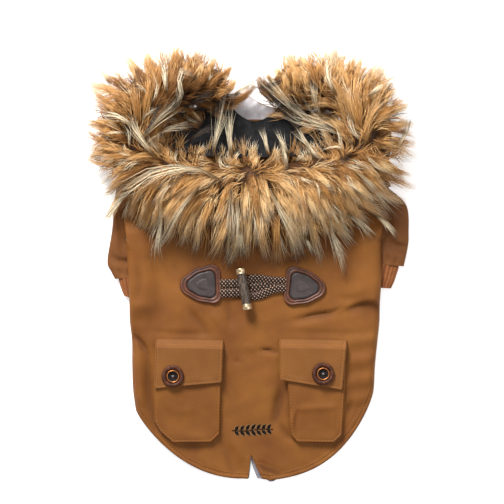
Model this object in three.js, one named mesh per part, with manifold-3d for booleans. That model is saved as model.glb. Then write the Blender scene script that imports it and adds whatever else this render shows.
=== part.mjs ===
// A small dog's winter coat, laid flat with its back upwards and its fur-edged hood thrown back.
// Millimetres. +X is the coat's right in plan, +Y points to the hood and +Z points up.
// Every length is drafted from the nape, the middle of the back neckline, and "down" is the
// distance below it. The finished group is then moved so that the origin is the middle of its base.
import * as THREE from "three";
import Module from "manifold-3d";
import { mergeVertices } from "three/addons/utils/BufferGeometryUtils.js";

const wasm = await Module();
wasm.setup();

// ---- Cloth and clearances ----
const SEAM = 0.3; // between two pieces that are sewn or lie together
const CLOTH = { back: 2.2, belly: 2.2, sleeve: 1.6, cuff: 1.5, hood: 1.8, lining: 1.2 };

// ---- Body ----
const BODY_HEIGHT = 6.6; // top of the back over the belly panels
const CROWN = 0.9; // how much more the middle of the back stands up
const HEM_HEIGHT = 4.2; // top of the hem, where only the lining is under it
const ROUND = 7; // the plan width over which the back rounds down at each side
const HEM = {
  fall: { middle: 100, side: 14 }, // the length over which the back comes down to the hem
  // drop is how far the middle hangs below the corner, sweep and round are the curve's powers
  left: { corner: 242.5, drop: 65, sweep: 2.2, round: 0.9 },
  right: { corner: 226, drop: 68, sweep: 3, round: 0.8 },
  step: { from: -0.08, to: 0.12 }, // where the left drop passes into the right, in half widths
};
const SIDES = [
  { down: 0, left: -62, right: 62 },
  { down: 16, left: -76, right: 76 },
  { down: 34, left: -97, right: 98 },
  { down: 52, left: -112.5, right: 114 },
  { down: 72, left: -117, right: 121 },
  { down: 92, left: -110.5, right: 115 },
  { down: 101, left: -104.9, right: 108.6 },
  { down: 104, left: -104.8, right: 107.8 },
  { down: 130, left: -103.6, right: 108.2 },
  { down: 152, left: -102.4, right: 106.8 },
  { down: 168, left: -102.2, right: 106.6 },
  { down: 184, left: -100.4, right: 105 },
  { down: 205, left: -100.2, right: 102.9 },
  { down: 226, left: -99.4, right: 101.7 },
  { down: 243, left: -97.1, right: 99 },
];
// The armhole is a straight cut from the shoulder to the underarm.
const ARMHOLE = {
  left: { shoulder: [-112, -52], underarm: [-104.6, -100] },
  right: { shoulder: [113, -56.5], underarm: [107.4, -102] },
};
// The side of the body rides over the sleeve that is tucked under it.
const TUCK = {
  height: 4.6,
  reach: 13,
  fade: 16,
  left: { from: 96, to: 154 },
  right: { from: 97, to: 147 },
};
// The largest folds of the back: depth is negative for a trough and positive for a ridge.
const FOLDS = [
  { name: "right trough", from: [38, -166], to: [72, -160], width: 6, depth: -1.3 },
  { name: "right trough end", from: [72, -160], to: [106, -153], width: 6, depth: -1.5 },
  { name: "left slant", from: [-100, -176], to: [-85, -228], width: 7, depth: -1.1 },
  { name: "middle slant", from: [-27, -160], to: [-8, -176], width: 7, depth: 0.9 },
];

// ---- Belly and chest ----
const LAP = { half: 9, rise: 2.5, clear: 0.6, slope: 7 }; // one edge lies over the other
const BELLY = { hem: 188, sideShare: 0.917, inset: 3.9 }; // its sides end above the back's
const CHEST_LINING = { left: -26, right: 24 };
const CHEST_NECK = [
  { x: -66, up: -6 },
  { x: -40, up: 15 },
  { x: -10, up: 22 },
  { x: 9, up: 13 },
  { x: 30, up: 7 },
  { x: 66, up: -6 },
];

// ---- Slit in the middle of the hem ----
const SLIT = { top: [-0.8, -275.5], left: [-5, -304], right: [9.5, -304], liningLip: 0.9 };

// ---- Sleeves: a row for each section, from its outer to its inner edge ----
const PUFF = 6.4; // height of the free part of a sleeve
const TUCKED = 4; // height of what lies under the body
const SLEEVES = {
  left: [
    { outer: [-112.4, -52.3], inner: [-105, -99.6], tucked: 0 },
    { outer: [-115.2, -70], inner: [-106, -102.5], tucked: 1 },
    { outer: [-116.8, -92], inner: [-100.5, -107], tucked: 1 },
    { outer: [-120.8, -118], inner: [-93, -118], tucked: 1 },
    { outer: [-117.4, -127], inner: [-92.5, -126], tucked: 1 },
    { outer: [-114.4, -133], inner: [-92.5, -131.5], tucked: 1 },
  ],
  right: [
    { outer: [113.6, -56.6], inner: [108, -101.6], tucked: 0 },
    { outer: [129, -71.7], inner: [109.4, -104], tucked: 1 },
    { outer: [130.8, -95.8], inner: [103, -108], tucked: 1 },
    { outer: [130, -107], inner: [96.5, -113.5], tucked: 1 },
    { outer: [126.7, -122.5], inner: [95.5, -119.5], tucked: 1 },
  ],
};
const CUFFS = {
  left: [
    { outer: [-111.7, -133.2], inner: [-93.5, -132], tucked: 1 },
    { outer: [-109.6, -140], inner: [-93.6, -141.5], tucked: 1 },
    { outer: [-106.7, -147], inner: [-94, -151.5], tucked: 1 },
  ],
  right: [
    { outer: [122.5, -122.6], inner: [97, -120.15], tucked: 1 },
    { outer: [118.6, -135], inner: [96, -131], tucked: 1 },
    { outer: [115.6, -141], inner: [95.5, -139.5], tucked: 1 },
  ],
};

// ---- Fur trim: a ring that is open at the throat ----
const RING = { middle: [-1.7, -11.5], half: [101, 44.5], hollow: [72, 21], square: 2.8 };
// turn is in degrees from the throat, past the left side, the crown and the right side.
// outer is the reach of the pile beyond the spine, and girth the height of its widest line.
const FUR = [
  { turn: 6, outer: 8, bottom: 5, girth: 14, top: 24 },
  { turn: 12, outer: 18, bottom: 1, girth: 13, top: 36 },
  { turn: 24, outer: 23, bottom: 0, girth: 13, top: 42 },
  { turn: 42, outer: 24, bottom: 0, girth: 13, top: 44 },
  { turn: 74, outer: 27, bottom: 0, girth: 14, top: 46 },
  { turn: 92, outer: 28, bottom: 8.2, girth: 15, top: 46 },
  { turn: 130, outer: 33, bottom: 8.2, girth: 15, top: 46 },
  { turn: 158, outer: 44, bottom: 8.2, girth: 15, top: 45 },
  { turn: 180, outer: 50, bottom: 8.2, girth: 15, top: 45 },
  { turn: 202, outer: 45, bottom: 8.2, girth: 15, top: 45 },
  { turn: 230, outer: 33, bottom: 8.2, girth: 15, top: 46 },
  { turn: 268, outer: 27, bottom: 8.2, girth: 15, top: 46 },
  { turn: 286, outer: 26, bottom: 0, girth: 14, top: 46 },
  { turn: 318, outer: 24, bottom: 0, girth: 13, top: 44 },
  { turn: 336, outer: 23, bottom: 0, girth: 13, top: 42 },
  { turn: 348, outer: 18, bottom: 1, girth: 13, top: 36 },
  { turn: 354, outer: 8, bottom: 5, girth: 14, top: 24 },
];
// The hood itself is a shallow dish inside the ring, open at the throat.
const DISH = {
  floor: 9.9, // underside of the lining where it lies on the hood's shell
  rim: 15,
  neck: { left: -19, right: 24, throat: 13, sill: 8.6 },
  from: 20,
  to: 340,
  stations: 24,
  steps: 4,
};

// ---- Pockets, on the back ----
const POCKET = { height: 4.6, wall: 1.3, gusset: 6, flap: 1.6, mouth: 7 };
const POCKETS = {
  left: {
    flap: [[-80.4, -182.6], [-23.6, -184], [-25, -219.4], [-81.6, -224.4]],
    bag: [[-80.6, -190], [-24.6, -190], [-25.6, -261], [-32.5, -267.4], [-61.5, -268.6],
      [-75, -259], [-80.8, -243]],
    button: [-65.8, -213.8],
  },
  right: {
    flap: [[22.6, -182.8], [79.2, -184], [75.2, -225.6], [23, -217]],
    bag: [[25.4, -190], [78.4, -190], [77.6, -226], [76.4, -260.5], [68.6, -268], [36, -267.4],
      [29.4, -251]],
    button: [59.2, -211.7],
  },
};
const BUTTON = { radius: 9, rim: 2.8, dish: 1.9, boss: 4.1, bossTop: 2.7 };

// ---- Toggle fastening ----
const PATCH = { length: 34.5, width: 33, tip: 8.5, back: 7, bulge: 1.8, thick: 2.2 };
const INLAY = { share: 0.66, thick: 0.9 };
const PATCHES = {
  left: { tip: [-59.8, -136.6], turn: 183 },
  right: { tip: [61.2, -139.4], turn: -6 },
};
const CORD = { width: 4.9, thick: 2.6 };
const LEFT_CORD = { from: -24.2, to: -11.4, middle: -139.4, wide: 6, narrow: 3.4 };
const RIGHT_LOOP = [
  { x: 25.2, y: -132.3 },
  { x: 16, y: -131.2 },
  { x: 7, y: -129.9 },
  { x: 0, y: -129.8 },
  { x: -5.8, y: -132.2 },
  { x: -8.2, y: -138 },
  { x: -5.8, y: -143.9 },
  { x: 0, y: -146.3 },
  { x: 8, y: -144.4 },
  { x: 17, y: -140.4 },
  { x: 25.2, y: -137.9 },
];
const TOGGLE = { middle: [-6.7, -140], length: 35, radius: 4, cap: 4.4, capRadius: 4.4, lean: 9.9 };

// ---- Colours ----
const cloth = (color, roughness) => new THREE.MeshStandardMaterial({ color, roughness });
const MATERIAL = {
  twill: cloth("#96602f", 0.6),
  rib: cloth("#a2643a", 0.9),
  fleeceDark: cloth("#1e1e20", 0.95),
  fleeceGrey: cloth("#afaaad", 0.95),
  fur: cloth("#ad8049", 0.9),
  leather: cloth("#6a4030", 0.55),
  inlay: cloth("#514543", 0.5),
  cord: cloth("#3a2c24", 0.9),
  horn: cloth("#38302c", 0.35),
  button: cloth("#653f2b", 0.5),
  brass: new THREE.MeshStandardMaterial({ color: "#cfae7c", roughness: 0.35, metalness: 0.9 }),
};

// ---- Numbers ----
const clamp = (v, low, high) => Math.min(high, Math.max(low, v));
const mix = (a, b, t) => a + (b - a) * t;
function smooth(low, high, v) {
  const t = clamp((v - low) / (high - low), 0, 1);
  return t * t * (3 - 2 * t);
}
const steps = (n) => Array.from({ length: n + 1 }, (_, i) => i / n);

// A column of a table at a place between its rows, on a smooth curve through them.
function at(table, key, place, column) {
  const last = table.length - 2;
  const found = table.findIndex((row) => row[key] > place) - 1;
  const i = clamp(found < -1 ? last : found, 0, last);
  const row = (k) => table[clamp(k, 0, table.length - 1)];
  const [a, b, c, d] = [row(i - 1), row(i), row(i + 1), row(i + 2)];
  const t = clamp((place - b[key]) / (c[key] - b[key]), 0, 1);
  const span = c[key] - b[key];
  const slopeIn = a === b ? (c[column] - b[column]) / span : (c[column] - a[column]) / (c[key] - a[key]);
  const slopeOut = c === d ? (c[column] - b[column]) / span : (d[column] - b[column]) / (d[key] - b[key]);
  const [t2, t3] = [t * t, t * t * t];
  return (
    (2 * t3 - 3 * t2 + 1) * b[column] +
    (t3 - 2 * t2 + t) * span * slopeIn +
    (3 * t2 - 2 * t3) * c[column] +
    (t3 - t2) * span * slopeOut
  );
}

// ---- The body's form ----
const edge = (side, down) => at(SIDES, "down", down, side);

// The edge of what lies inside the body's side wall, moved in square to the edge.
function insideEdge(side, down, inset) {
  const slope = (edge(side, down + 4) - edge(side, down - 4)) / 8;
  return Math.abs(edge(side, down)) - inset * Math.hypot(1, slope);
}

// The body's outer edge once the armhole is cut.
function cutEdge(side, down) {
  const { shoulder, underarm } = ARMHOLE[side];
  if (down < -shoulder[1] || down > -underarm[1]) return edge(side, down);
  return mix(shoulder[0], underarm[0], (down + shoulder[1]) / (shoulder[1] - underarm[1]));
}

// How far the hem hangs below the line between its corners, for u from -1 to 1:
// drop * (1 - |u|^sweep)^round.
function hemDrop(u) {
  const { left, right, step } = HEM;
  const { sweep, round } = u < 0 ? left : right;
  const drop = mix(left.drop, right.drop, smooth(step.from, step.to, u));
  return drop * Math.pow(Math.max(0, 1 - Math.pow(Math.abs(u), sweep)), round);
}

function hemDown(x) {
  const [left, right] = [edge("left", HEM.left.corner), edge("right", HEM.right.corner)];
  const t = clamp((x - left) / (right - left), 0, 1);
  return mix(HEM.left.corner, HEM.right.corner, t) + hemDrop(2 * t - 1);
}

// How far the sleeve under the body lifts it off the table.
function lift(x, y) {
  const side = x < 0 ? "left" : "right";
  const { from, to } = TUCK[side];
  const inside = Math.abs(edge(side, -y)) - Math.abs(x);
  const along = smooth(from - TUCK.fade, from, -y) * (1 - smooth(to, to + TUCK.fade, -y));
  return TUCK.height * along * (1 - smooth(TUCK.reach, TUCK.reach + TUCK.fade, inside));
}

// A fold's height: a soft bell across its line, fading out at both ends.
function fold({ from, to, width, depth }, x, y) {
  const [dx, dy] = [to[0] - from[0], to[1] - from[1]];
  const long = Math.hypot(dx, dy);
  const along = ((x - from[0]) * dx + (y - from[1]) * dy) / long;
  const across = ((x - from[0]) * dy - (y - from[1]) * dx) / long;
  const past = Math.max(0, -along, along - long);
  return depth * Math.exp(-(across * across + past * past) / (width * width));
}

// The height of the back's upper surface over what is under it.
function backRise(x, y) {
  const toHem = hemDown(x) + y;
  const half = (edge("right", -y) - edge("left", -y)) / 2;
  const across = clamp(x / half, -1, 1);
  const falls = mix(HEM.fall.middle, HEM.fall.side, across * across);
  const high = BODY_HEIGHT + CROWN * (1 - across * across);
  const folds = FOLDS.reduce((sum, one) => sum + fold(one, x, y), 0);
  return mix(HEM_HEIGHT, high + folds, smooth(0, falls, toHem));
}

const backTop = (x, y) => backRise(x, y) + lift(x, y);

// ---- Meshes ----
// A closed geometry from points and triangles, turned to face outwards.
function closed(points, triangles) {
  const [a, b, c] = [new THREE.Vector3(), new THREE.Vector3(), new THREE.Vector3()];
  const volume = triangles.reduce((sum, [i, j, k]) => {
    return sum + a.copy(points[i]).dot(b.copy(points[j]).cross(c.copy(points[k])));
  }, 0);
  const faces = volume < 0 ? triangles.map(([i, j, k]) => [i, k, j]) : triangles;
  const geometry = new THREE.BufferGeometry().setFromPoints(points);
  geometry.setIndex(faces.flat());
  return geometry;
}

// Joins two grids of the same size, such as the outside and the inside of a cloth, all round.
// A grid is a list of rows, and around says that its rows are loops.
function wall(outside, inside, around = false) {
  const [rows, columns] = [outside.length, outside[0].length];
  const points = [...outside.flat(), ...inside.flat()];
  const place = (layer, r, c) => layer * rows * columns + r * columns + (c % columns);
  const triangles = [];
  const quad = (a, b, c, d) => triangles.push([a, b, c], [a, c, d]);
  const last = around ? columns : columns - 1;
  for (let r = 0; r < rows - 1; r++) {
    for (let c = 0; c < last; c++) {
      quad(place(0, r, c), place(0, r, c + 1), place(0, r + 1, c + 1), place(0, r + 1, c));
      quad(place(1, r, c), place(1, r + 1, c), place(1, r + 1, c + 1), place(1, r, c + 1));
    }
  }
  for (let c = 0; c < last; c++) {
    quad(place(0, 0, c), place(1, 0, c), place(1, 0, c + 1), place(0, 0, c + 1));
    const r = rows - 1;
    quad(place(0, r, c), place(0, r, c + 1), place(1, r, c + 1), place(1, r, c));
  }
  if (!around) {
    for (let r = 0; r < rows - 1; r++) {
      quad(place(0, r, 0), place(0, r + 1, 0), place(1, r + 1, 0), place(1, r, 0));
      const c = columns - 1;
      quad(place(0, r, c), place(1, r, c), place(1, r + 1, c), place(0, r + 1, c));
    }
  }
  return closed(points, triangles);
}

// A solid through closed loops, with a flat fan at each end.
function loft(loops) {
  const count = loops[0].length;
  const points = loops.flat();
  const triangles = [];
  for (let r = 0; r < loops.length - 1; r++) {
    for (let c = 0; c < count; c++) {
      const [a, b] = [r * count + c, r * count + ((c + 1) % count)];
      triangles.push([a, b, b + count], [a, b + count, a + count]);
    }
  }
  const cap = (loop, start, turned) => {
    const middle = loop.reduce((sum, p) => sum.add(p), new THREE.Vector3()).divideScalar(count);
    points.push(middle);
    for (let c = 0; c < count; c++) {
      const [a, b] = [start + c, start + ((c + 1) % count)];
      triangles.push(turned ? [points.length - 1, b, a] : [points.length - 1, a, b]);
    }
  };
  cap(loops[0], 0, true);
  cap(loops.at(-1), (loops.length - 1) * count, false);
  return closed(points, triangles);
}

// A piece on the back, from its outline inwards in rings, between two heights above it.
function laid(outline, low, high, rings = [1, 0.8, 0.5, 0.2]) {
  const middle = outline.reduce(([x, y], p) => [x + p[0], y + p[1]], [0, 0]);
  const [mx, my] = middle.map((v) => v / outline.length);
  const layer = (height) =>
    rings.map((share) =>
      outline.map(([px, py]) => {
        const [x, y] = [mix(mx, px, share), mix(my, py, share)];
        return new THREE.Vector3(x, y, backTop(x, y) + height(x, y, share));
      }),
    );
  return loft([...layer(low).reverse(), ...layer(high)]);
}

// A polygon with its corners cut to arcs and its long sides divided.
function softened(corners, radius, spacing) {
  return corners.flatMap((corner, i) => {
    const before = corners[(i + corners.length - 1) % corners.length];
    const after = corners[(i + 1) % corners.length];
    const long = (p) => Math.hypot(p[0] - corner[0], p[1] - corner[1]);
    const toward = (p, reach) => {
      const t = Math.min(reach / long(p), 0.45);
      return [mix(corner[0], p[0], t), mix(corner[1], p[1], t)];
    };
    const [a, b] = [toward(before, radius), toward(after, radius)];
    const nose = [(a[0] + b[0] + 2 * corner[0]) / 4, (a[1] + b[1] + 2 * corner[1]) / 4];
    const straight = long(after) - 2 * radius;
    const count = Math.max(1, Math.floor(straight / spacing));
    const along = steps(count).slice(1, -1).map((t) => {
      const share = (radius + straight * t) / long(after);
      return [mix(corner[0], after[0], share), mix(corner[1], after[1], share)];
    });
    return [a, nose, b, ...along];
  });
}

// Cuts one geometry from another.
function cut(geometry, tools) {
  const solid = (g) => {
    const bare = g.clone();
    bare.deleteAttribute("normal");
    bare.deleteAttribute("uv");
    const merged = mergeVertices(bare, 1e-4);
    return new wasm.Manifold(
      new wasm.Mesh({
        numProp: 3,
        vertProperties: merged.attributes.position.array,
        triVerts: new Uint32Array(merged.index.array),
      }),
    );
  };
  const left = tools.reduce((sum, tool) => sum.subtract(solid(tool)), solid(geometry));
  const mesh = left.getMesh();
  return new THREE.BufferGeometry()
    .setAttribute("position", new THREE.BufferAttribute(mesh.vertProperties, 3))
    .setIndex(new THREE.BufferAttribute(mesh.triVerts, 1));
}

// An upright block over a plan outline.
function block(outline, low, high) {
  const shape = new THREE.Shape(outline.map(([x, y]) => new THREE.Vector2(x, y)));
  const geometry = new THREE.ExtrudeGeometry(shape, { depth: high - low, bevelEnabled: false });
  return geometry.translate(0, 0, low);
}

// What is cut off outside an armhole, out to clear is beyond the seam line.
function armholeBlock(side, clear) {
  const { shoulder, underarm } = ARMHOLE[side];
  const out = side === "left" ? -1 : 1;
  const [from, to] = [shoulder, underarm].map(([x, y]) => [x + out * clear, y]);
  const far = 30 * out;
  return block([from, to, [to[0] + far, to[1]], [from[0] + far, from[1]]], -5, 40);
}

function slitBlock(lip) {
  const { top, left, right } = SLIT;
  return block([[top[0], top[1] - 3 * lip], [left[0] + lip, left[1]], [right[0] - lip, right[1]]], -5, 40);
}

// ---- Back panel: one cloth, rounded down at both sides ----
const ACROSS = 16;
const TURN = 4;
const ROWS = 24;

// The rows of the back's outer surface, from side to side.
function backSurface() {
  return steps(ROWS).map((v) => {
    const downs = { left: v * HEM.left.corner, right: v * HEM.right.corner };
    const ends = { left: edge("left", downs.left), right: edge("right", downs.right) };
    const rowY = (x) => {
      const t = (x - ends.left) / (ends.right - ends.left);
      return -mix(downs.left, downs.right, t) - hemDrop(2 * t - 1) * v * v;
    };
    const sideArc = (side) =>
      steps(TURN).map((t) => {
        const out = side === "left" ? -1 : 1;
        const turn = (t * Math.PI) / 2;
        const inner = ends[side] - out * ROUND;
        const x = inner + out * ROUND * Math.cos(turn);
        const height = Math.sin(turn) * backRise(inner, rowY(inner));
        return new THREE.Vector3(x, rowY(x), lift(x, rowY(x)) + height);
      });
    const flat = steps(ACROSS).map((t) => {
      const x = mix(ends.left + ROUND, ends.right - ROUND, t);
      return new THREE.Vector3(x, rowY(x), backTop(x, rowY(x)));
    });
    return [...sideArc("left").slice(0, -1), ...flat, ...sideArc("right").reverse().slice(1)];
  });
}

// The inside of a cloth: each point moved in along its normal. The first and last columns stay level.
function insideOf(surface, thick) {
  const [rows, columns] = [surface.length, surface[0].length];
  return surface.map((row, r) =>
    row.map((point, c) => {
      const [up, on] = [surface[Math.max(r - 1, 0)][c], surface[Math.min(r + 1, rows - 1)][c]];
      const along = on.clone().sub(up);
      const across = row[Math.min(c + 1, columns - 1)].clone().sub(row[Math.max(c - 1, 0)]);
      const normal = across.cross(along).negate();
      if (c === 0 || c === columns - 1) normal.z = 0;
      if (r === 0 || r === rows - 1) normal.y = 0;
      normal.normalize();
      return point.clone().addScaledVector(normal, -thick);
    }),
  );
}

function backPanel() {
  const outer = backSurface();
  const whole = wall(outer, insideOf(outer, CLOTH.back));
  return cut(whole, [armholeBlock("left", 0), armholeBlock("right", 0), slitBlock(0)]);
}

// ---- Belly panels: they lap over each other down the middle ----
function bellyPanel(side) {
  const out = side === "left" ? -1 : 1;
  const lapEnd = 2 * LAP.half + LAP.clear;
  const flat = [0, LAP.half, lapEnd, lapEnd + LAP.slope];
  const count = Math.round(ROWS * BELLY.sideShare);
  const last = (HEM[side].corner * count) / ROWS;
  const bottom = steps(count).map((v) => {
    const width = insideEdge(side, v * last, BELLY.inset) + LAP.half;
    const rest = steps(7).slice(1).map((t) => mix(width, flat.at(-1), Math.pow(1 - t, 1.6)));
    return [...flat, ...rest].map((far) => {
      const x = out * (far - LAP.half);
      const neck = -at(CHEST_NECK, "x", clamp(x, -62, 62), "up");
      const share = Math.pow(clamp(x / edge(side, last), 0, 1), 2);
      const y = -mix(neck * (1 - share), mix(BELLY.hem, last, share), v);
      const over = side === "left" && far <= lapEnd ? LAP.rise : 0;
      return new THREE.Vector3(x, y, lift(x, y) + over);
    });
  });
  const top = bottom.map((row) => row.map((p) => p.clone().setZ(p.z + CLOTH.belly)));
  return cut(wall(top, bottom), [armholeBlock(side, 0)]);
}

// ---- Linings that show: the chest's at the neck, and the tail's at the hem and the slit ----
function chestLining() {
  const low = CLOTH.belly + LAP.rise + SEAM;
  const bottom = steps(3).map((v) =>
    steps(12).map((t) => {
      const x = mix(CHEST_LINING.left, CHEST_LINING.right, t);
      return new THREE.Vector3(x, mix(at(CHEST_NECK, "x", x, "up") - 0.6, SEAM, v), low);
    }),
  );
  const top = bottom.map((row) => row.map((p) => p.clone().setZ(p.z + CLOTH.lining)));
  return wall(top, bottom);
}

function tailLining() {
  const under = CLOTH.back + 2 * SEAM;
  const inset = ROUND + 1;
  const top = steps(7).map((v) =>
    steps(14).map((t) => {
      const x = mix(edge("left", HEM.left.corner) + inset, edge("right", HEM.right.corner) - inset, t);
      const end = hemDown(x) - 0.7;
      const start = mix(BELLY.hem + 6, end - 12, Math.pow(2 * t - 1, 2));
      const y = -mix(start, end, v);
      return new THREE.Vector3(x, y, backTop(x, y) - under);
    }),
  );
  const bottom = top.map((row) => row.map((p) => p.clone().setZ(p.z - CLOTH.lining)));
  return cut(wall(top, bottom), [slitBlock(SLIT.liningLip)]);
}

// ---- Sleeves and cuffs: tubes pressed flat ----
// One loop round a flat tube, less a wall. Its free part is puffed and its tucked part is flat.
function flatLoop(side, { outer, inner, tucked }, wallThick, puff) {
  const long = Math.hypot(inner[0] - outer[0], inner[1] - outer[1]);
  const half = 7;
  const point = (share, up) => {
    const inset = mix(wallThick / long, 1 - wallThick / long, share);
    const [x, y] = [mix(outer[0], inner[0], inset), mix(outer[1], inner[1], inset)];
    const outside = Math.abs(x) - Math.abs(cutEdge(side, -y));
    const height = mix(puff, TUCKED, tucked * (1 - smooth(1.5, 9, outside)));
    const round = Math.pow(1 - Math.pow(Math.abs(2 * share - 1), 4), 0.5);
    return new THREE.Vector3(x, y, height / 2 + up * round * (height / 2 - wallThick));
  };
  const spread = (i) => (1 - Math.cos((Math.PI * i) / half)) / 2;
  const over = Array.from({ length: half }, (_, i) => point(spread(i), 1));
  const under = Array.from({ length: half }, (_, i) => point(spread(half - i), -1));
  return [...over, ...under];
}

// The hollow runs a little past both ends of the cloth, so that they are open.
function flatTube(side, rows, thick, puff) {
  const outside = rows.map((row) => flatLoop(side, row, 0, puff));
  const inside = rows.map((row) => flatLoop(side, row, thick, puff));
  const past = (end, next) => end.map((p, i) => p.clone().lerp(next[i], -0.1));
  const hollow = [past(inside[0], inside[1]), ...inside, past(inside.at(-1), inside.at(-2))];
  return cut(loft(outside), [loft(hollow)]);
}

// ---- Fur trim and hood ----
// The ring at a turn in degrees: its spine, the edge of its hollow and the way outwards.
function ringPlace(turn) {
  const angle = ((90 + turn) * Math.PI) / 180;
  const power = 2 / RING.square;
  const axis = (v, half) => Math.sign(v) * half * Math.pow(Math.abs(v), power);
  const loop = (a, [halfX, halfY]) =>
    new THREE.Vector2(RING.middle[0] + axis(Math.cos(a), halfX), RING.middle[1] + axis(Math.sin(a), halfY));
  const ahead = loop(angle + 0.02, RING.half).sub(loop(angle - 0.02, RING.half)).normalize();
  return {
    spine: loop(angle, RING.half),
    hollow: loop(angle, RING.hollow),
    out: new THREE.Vector2(ahead.y, -ahead.x),
  };
}

const furAt = (turn, column) => at(FUR, "turn", turn, column);

function furTrim() {
  const upper = 7;
  const lower = 4;
  const loops = steps(32).map((v) => {
    const turn = mix(FUR[0].turn, FUR.at(-1).turn, v);
    const { spine, hollow, out } = ringPlace(turn);
    const [girth, top, bottom] = ["girth", "top", "bottom"].map((name) => furAt(turn, name));
    const outer = furAt(turn, "outer");
    const ends = Math.min(1, outer / 20);
    const inward = hollow.clone().sub(spine).multiplyScalar(ends);
    const place = (angle) => {
      const across = -Math.cos(angle);
      const up = Math.sin(angle);
      const height = up > 0 ? (top - girth) * Math.pow(up, 0.9) : (girth - bottom) * -Math.pow(-up, 0.6);
      const flat = spine.clone();
      if (across < 0) flat.addScaledVector(inward, -across);
      else flat.addScaledVector(out, across * outer);
      return new THREE.Vector3(flat.x, flat.y, Math.max(0, girth + height));
    };
    const over = Array.from({ length: upper }, (_, i) => place((Math.PI * i) / upper));
    const under = Array.from({ length: lower }, (_, i) => place(Math.PI * (1 + i / lower)));
    return [...over, ...under];
  });
  return loft(loops);
}

// The hood, between the neckline and the ring: lay is its height over the shell.
function dish(lay, thick) {
  const { neck, floor, rim } = DISH;
  const surface = steps(DISH.stations).map((v) => {
    const turn = mix(DISH.from, DISH.to, v);
    const { spine, hollow } = ringPlace(turn);
    const inward = hollow.clone().sub(spine).normalize();
    const far = hollow.clone().addScaledVector(inward, 0.9);
    const atThroat = clamp((Math.abs(2 * v - 1) - 0.7) / 0.3, 0, 1);
    const acrossNeck = clamp((v - 0.12) / 0.76, 0, 1);
    const near = new THREE.Vector2(mix(neck.left, neck.right, acrossNeck), neck.throat * atThroat);
    const nearHeight = mix(floor, neck.sill, atThroat);
    return steps(DISH.steps).map((s) => {
      const x = mix(near.x, far.x, s);
      const y = mix(near.y, far.y, s);
      return new THREE.Vector3(x, y, mix(nearHeight, rim, Math.pow(s, 3)) + lay);
    });
  });
  const under = surface.map((row) => row.map((p) => p.clone().setZ(p.z - thick)));
  return wall(surface, under);
}

// ---- Pockets ----
function pocketFlap(side) {
  const { flap } = POCKETS[side];
  const top = Math.max(...flap.map(([, y]) => y));
  const low = (x, y) => SEAM + (POCKET.height + SEAM) * smooth(0.5, POCKET.mouth, top - y);
  return laid(softened(flap, 2, 10), low, (x, y) => low(x, y) + POCKET.flap, [1, 0.85, 0.65, 0.25]);
}

// A bellows bag: its front is raised on a sloping gusset, with the mouth open under the flap.
function pocketBag(side) {
  const outline = softened(POCKETS[side].bag, 2.5, 10);
  const front = (x, y, share) => mix(POCKET.height, SEAM + 0.4, smooth(0.9, 1, share));
  const outer = laid(outline, () => SEAM, front, [1, 0.93, 0.7, 0.3]);
  const inner = laid(outline, () => SEAM - 0.2, () => POCKET.height - POCKET.wall, [0.9, 0.6, 0.25]);
  const [left, right] = [Math.min, Math.max].map((most) => most(...outline.map(([x]) => x)));
  const top = Math.max(...outline.map(([, y]) => y));
  const lip = POCKET.gusset;
  const mouth = block(
    [[left + lip, top + 2], [right - lip, top + 2], [right - lip, top - 9], [left + lip, top - 9]],
    0,
    backTop((left + right) / 2, top) + POCKET.height - POCKET.wall,
  );
  return cut(outer, [inner, mouth]);
}

// The highest that the back stands within a radius of a place.
function highest(x, y, radius) {
  return Math.max(...steps(12).map((t) => {
    const angle = t * 2 * Math.PI;
    return backTop(x + radius * Math.cos(angle), y + radius * Math.sin(angle));
  }), backTop(x, y));
}

function flapTop(side) {
  const [x, y] = POCKETS[side].button;
  return highest(x, y, BUTTON.radius) + POCKET.height + 3 * SEAM + POCKET.flap;
}

function lathe(profile) {
  const points = profile.map(([r, z]) => new THREE.Vector2(r, z));
  return new THREE.LatheGeometry(points, 18).rotateX(Math.PI / 2);
}

function buttonDisc() {
  const { radius, rim, dish: low, boss } = BUTTON;
  return lathe([[0, 0], [radius - 0.8, 0], [radius, 1.1], [radius - 0.9, rim], [radius - 2.2, rim],
    [boss + 1, low], [boss + SEAM, low], [boss + SEAM, 1], [0, 1]]);
}

function buttonBoss() {
  return lathe([[0, 1 + SEAM], [BUTTON.boss, 1 + SEAM], [BUTTON.boss, BUTTON.bossTop - 0.4],
    [BUTTON.boss - 0.5, BUTTON.bossTop], [0, BUTTON.bossTop - 0.5]]);
}

// ---- Toggle fastening ----
// A triangle with round corners and full sides, its tip at the origin and its back towards -X.
function patchOutline(share) {
  const { length, width, tip, back, bulge } = PATCH;
  const middle = length * 0.56;
  const corners = [
    { x: -tip, y: 0, radius: tip, from: -62, to: 62 },
    { x: back - length, y: width / 2 - back, radius: back, from: 66, to: 176 },
    { x: back - length, y: back - width / 2, radius: back, from: 184, to: 294 },
  ];
  const arcs = corners.map(({ x, y, radius, from, to }) =>
    steps(4).map((t) => {
      const angle = (mix(from, to, t) * Math.PI) / 180;
      return [x + radius * Math.cos(angle), y + radius * Math.sin(angle)];
    }),
  );
  const outline = arcs.flatMap((arc, i) => {
    const next = arcs[(i + 1) % arcs.length][0];
    const end = arc.at(-1);
    const halfway = [(end[0] + next[0]) / 2, (end[1] + next[1]) / 2];
    const away = Math.hypot(halfway[0] + middle, halfway[1]);
    const full = i === 1 ? 0 : bulge;
    const out = [(halfway[0] + middle) / away, halfway[1] / away];
    return [...arc, [halfway[0] + out[0] * full, halfway[1] + out[1] * full]];
  });
  return outline.map(([x, y]) => [(x + middle) * share - middle, y * share]);
}

function placed(outline, { tip, turn }) {
  const angle = (turn * Math.PI) / 180;
  const [c, s] = [Math.cos(angle), Math.sin(angle)];
  return outline.map(([x, y]) => [tip[0] + x * c - y * s, tip[1] + x * s + y * c]);
}

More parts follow.
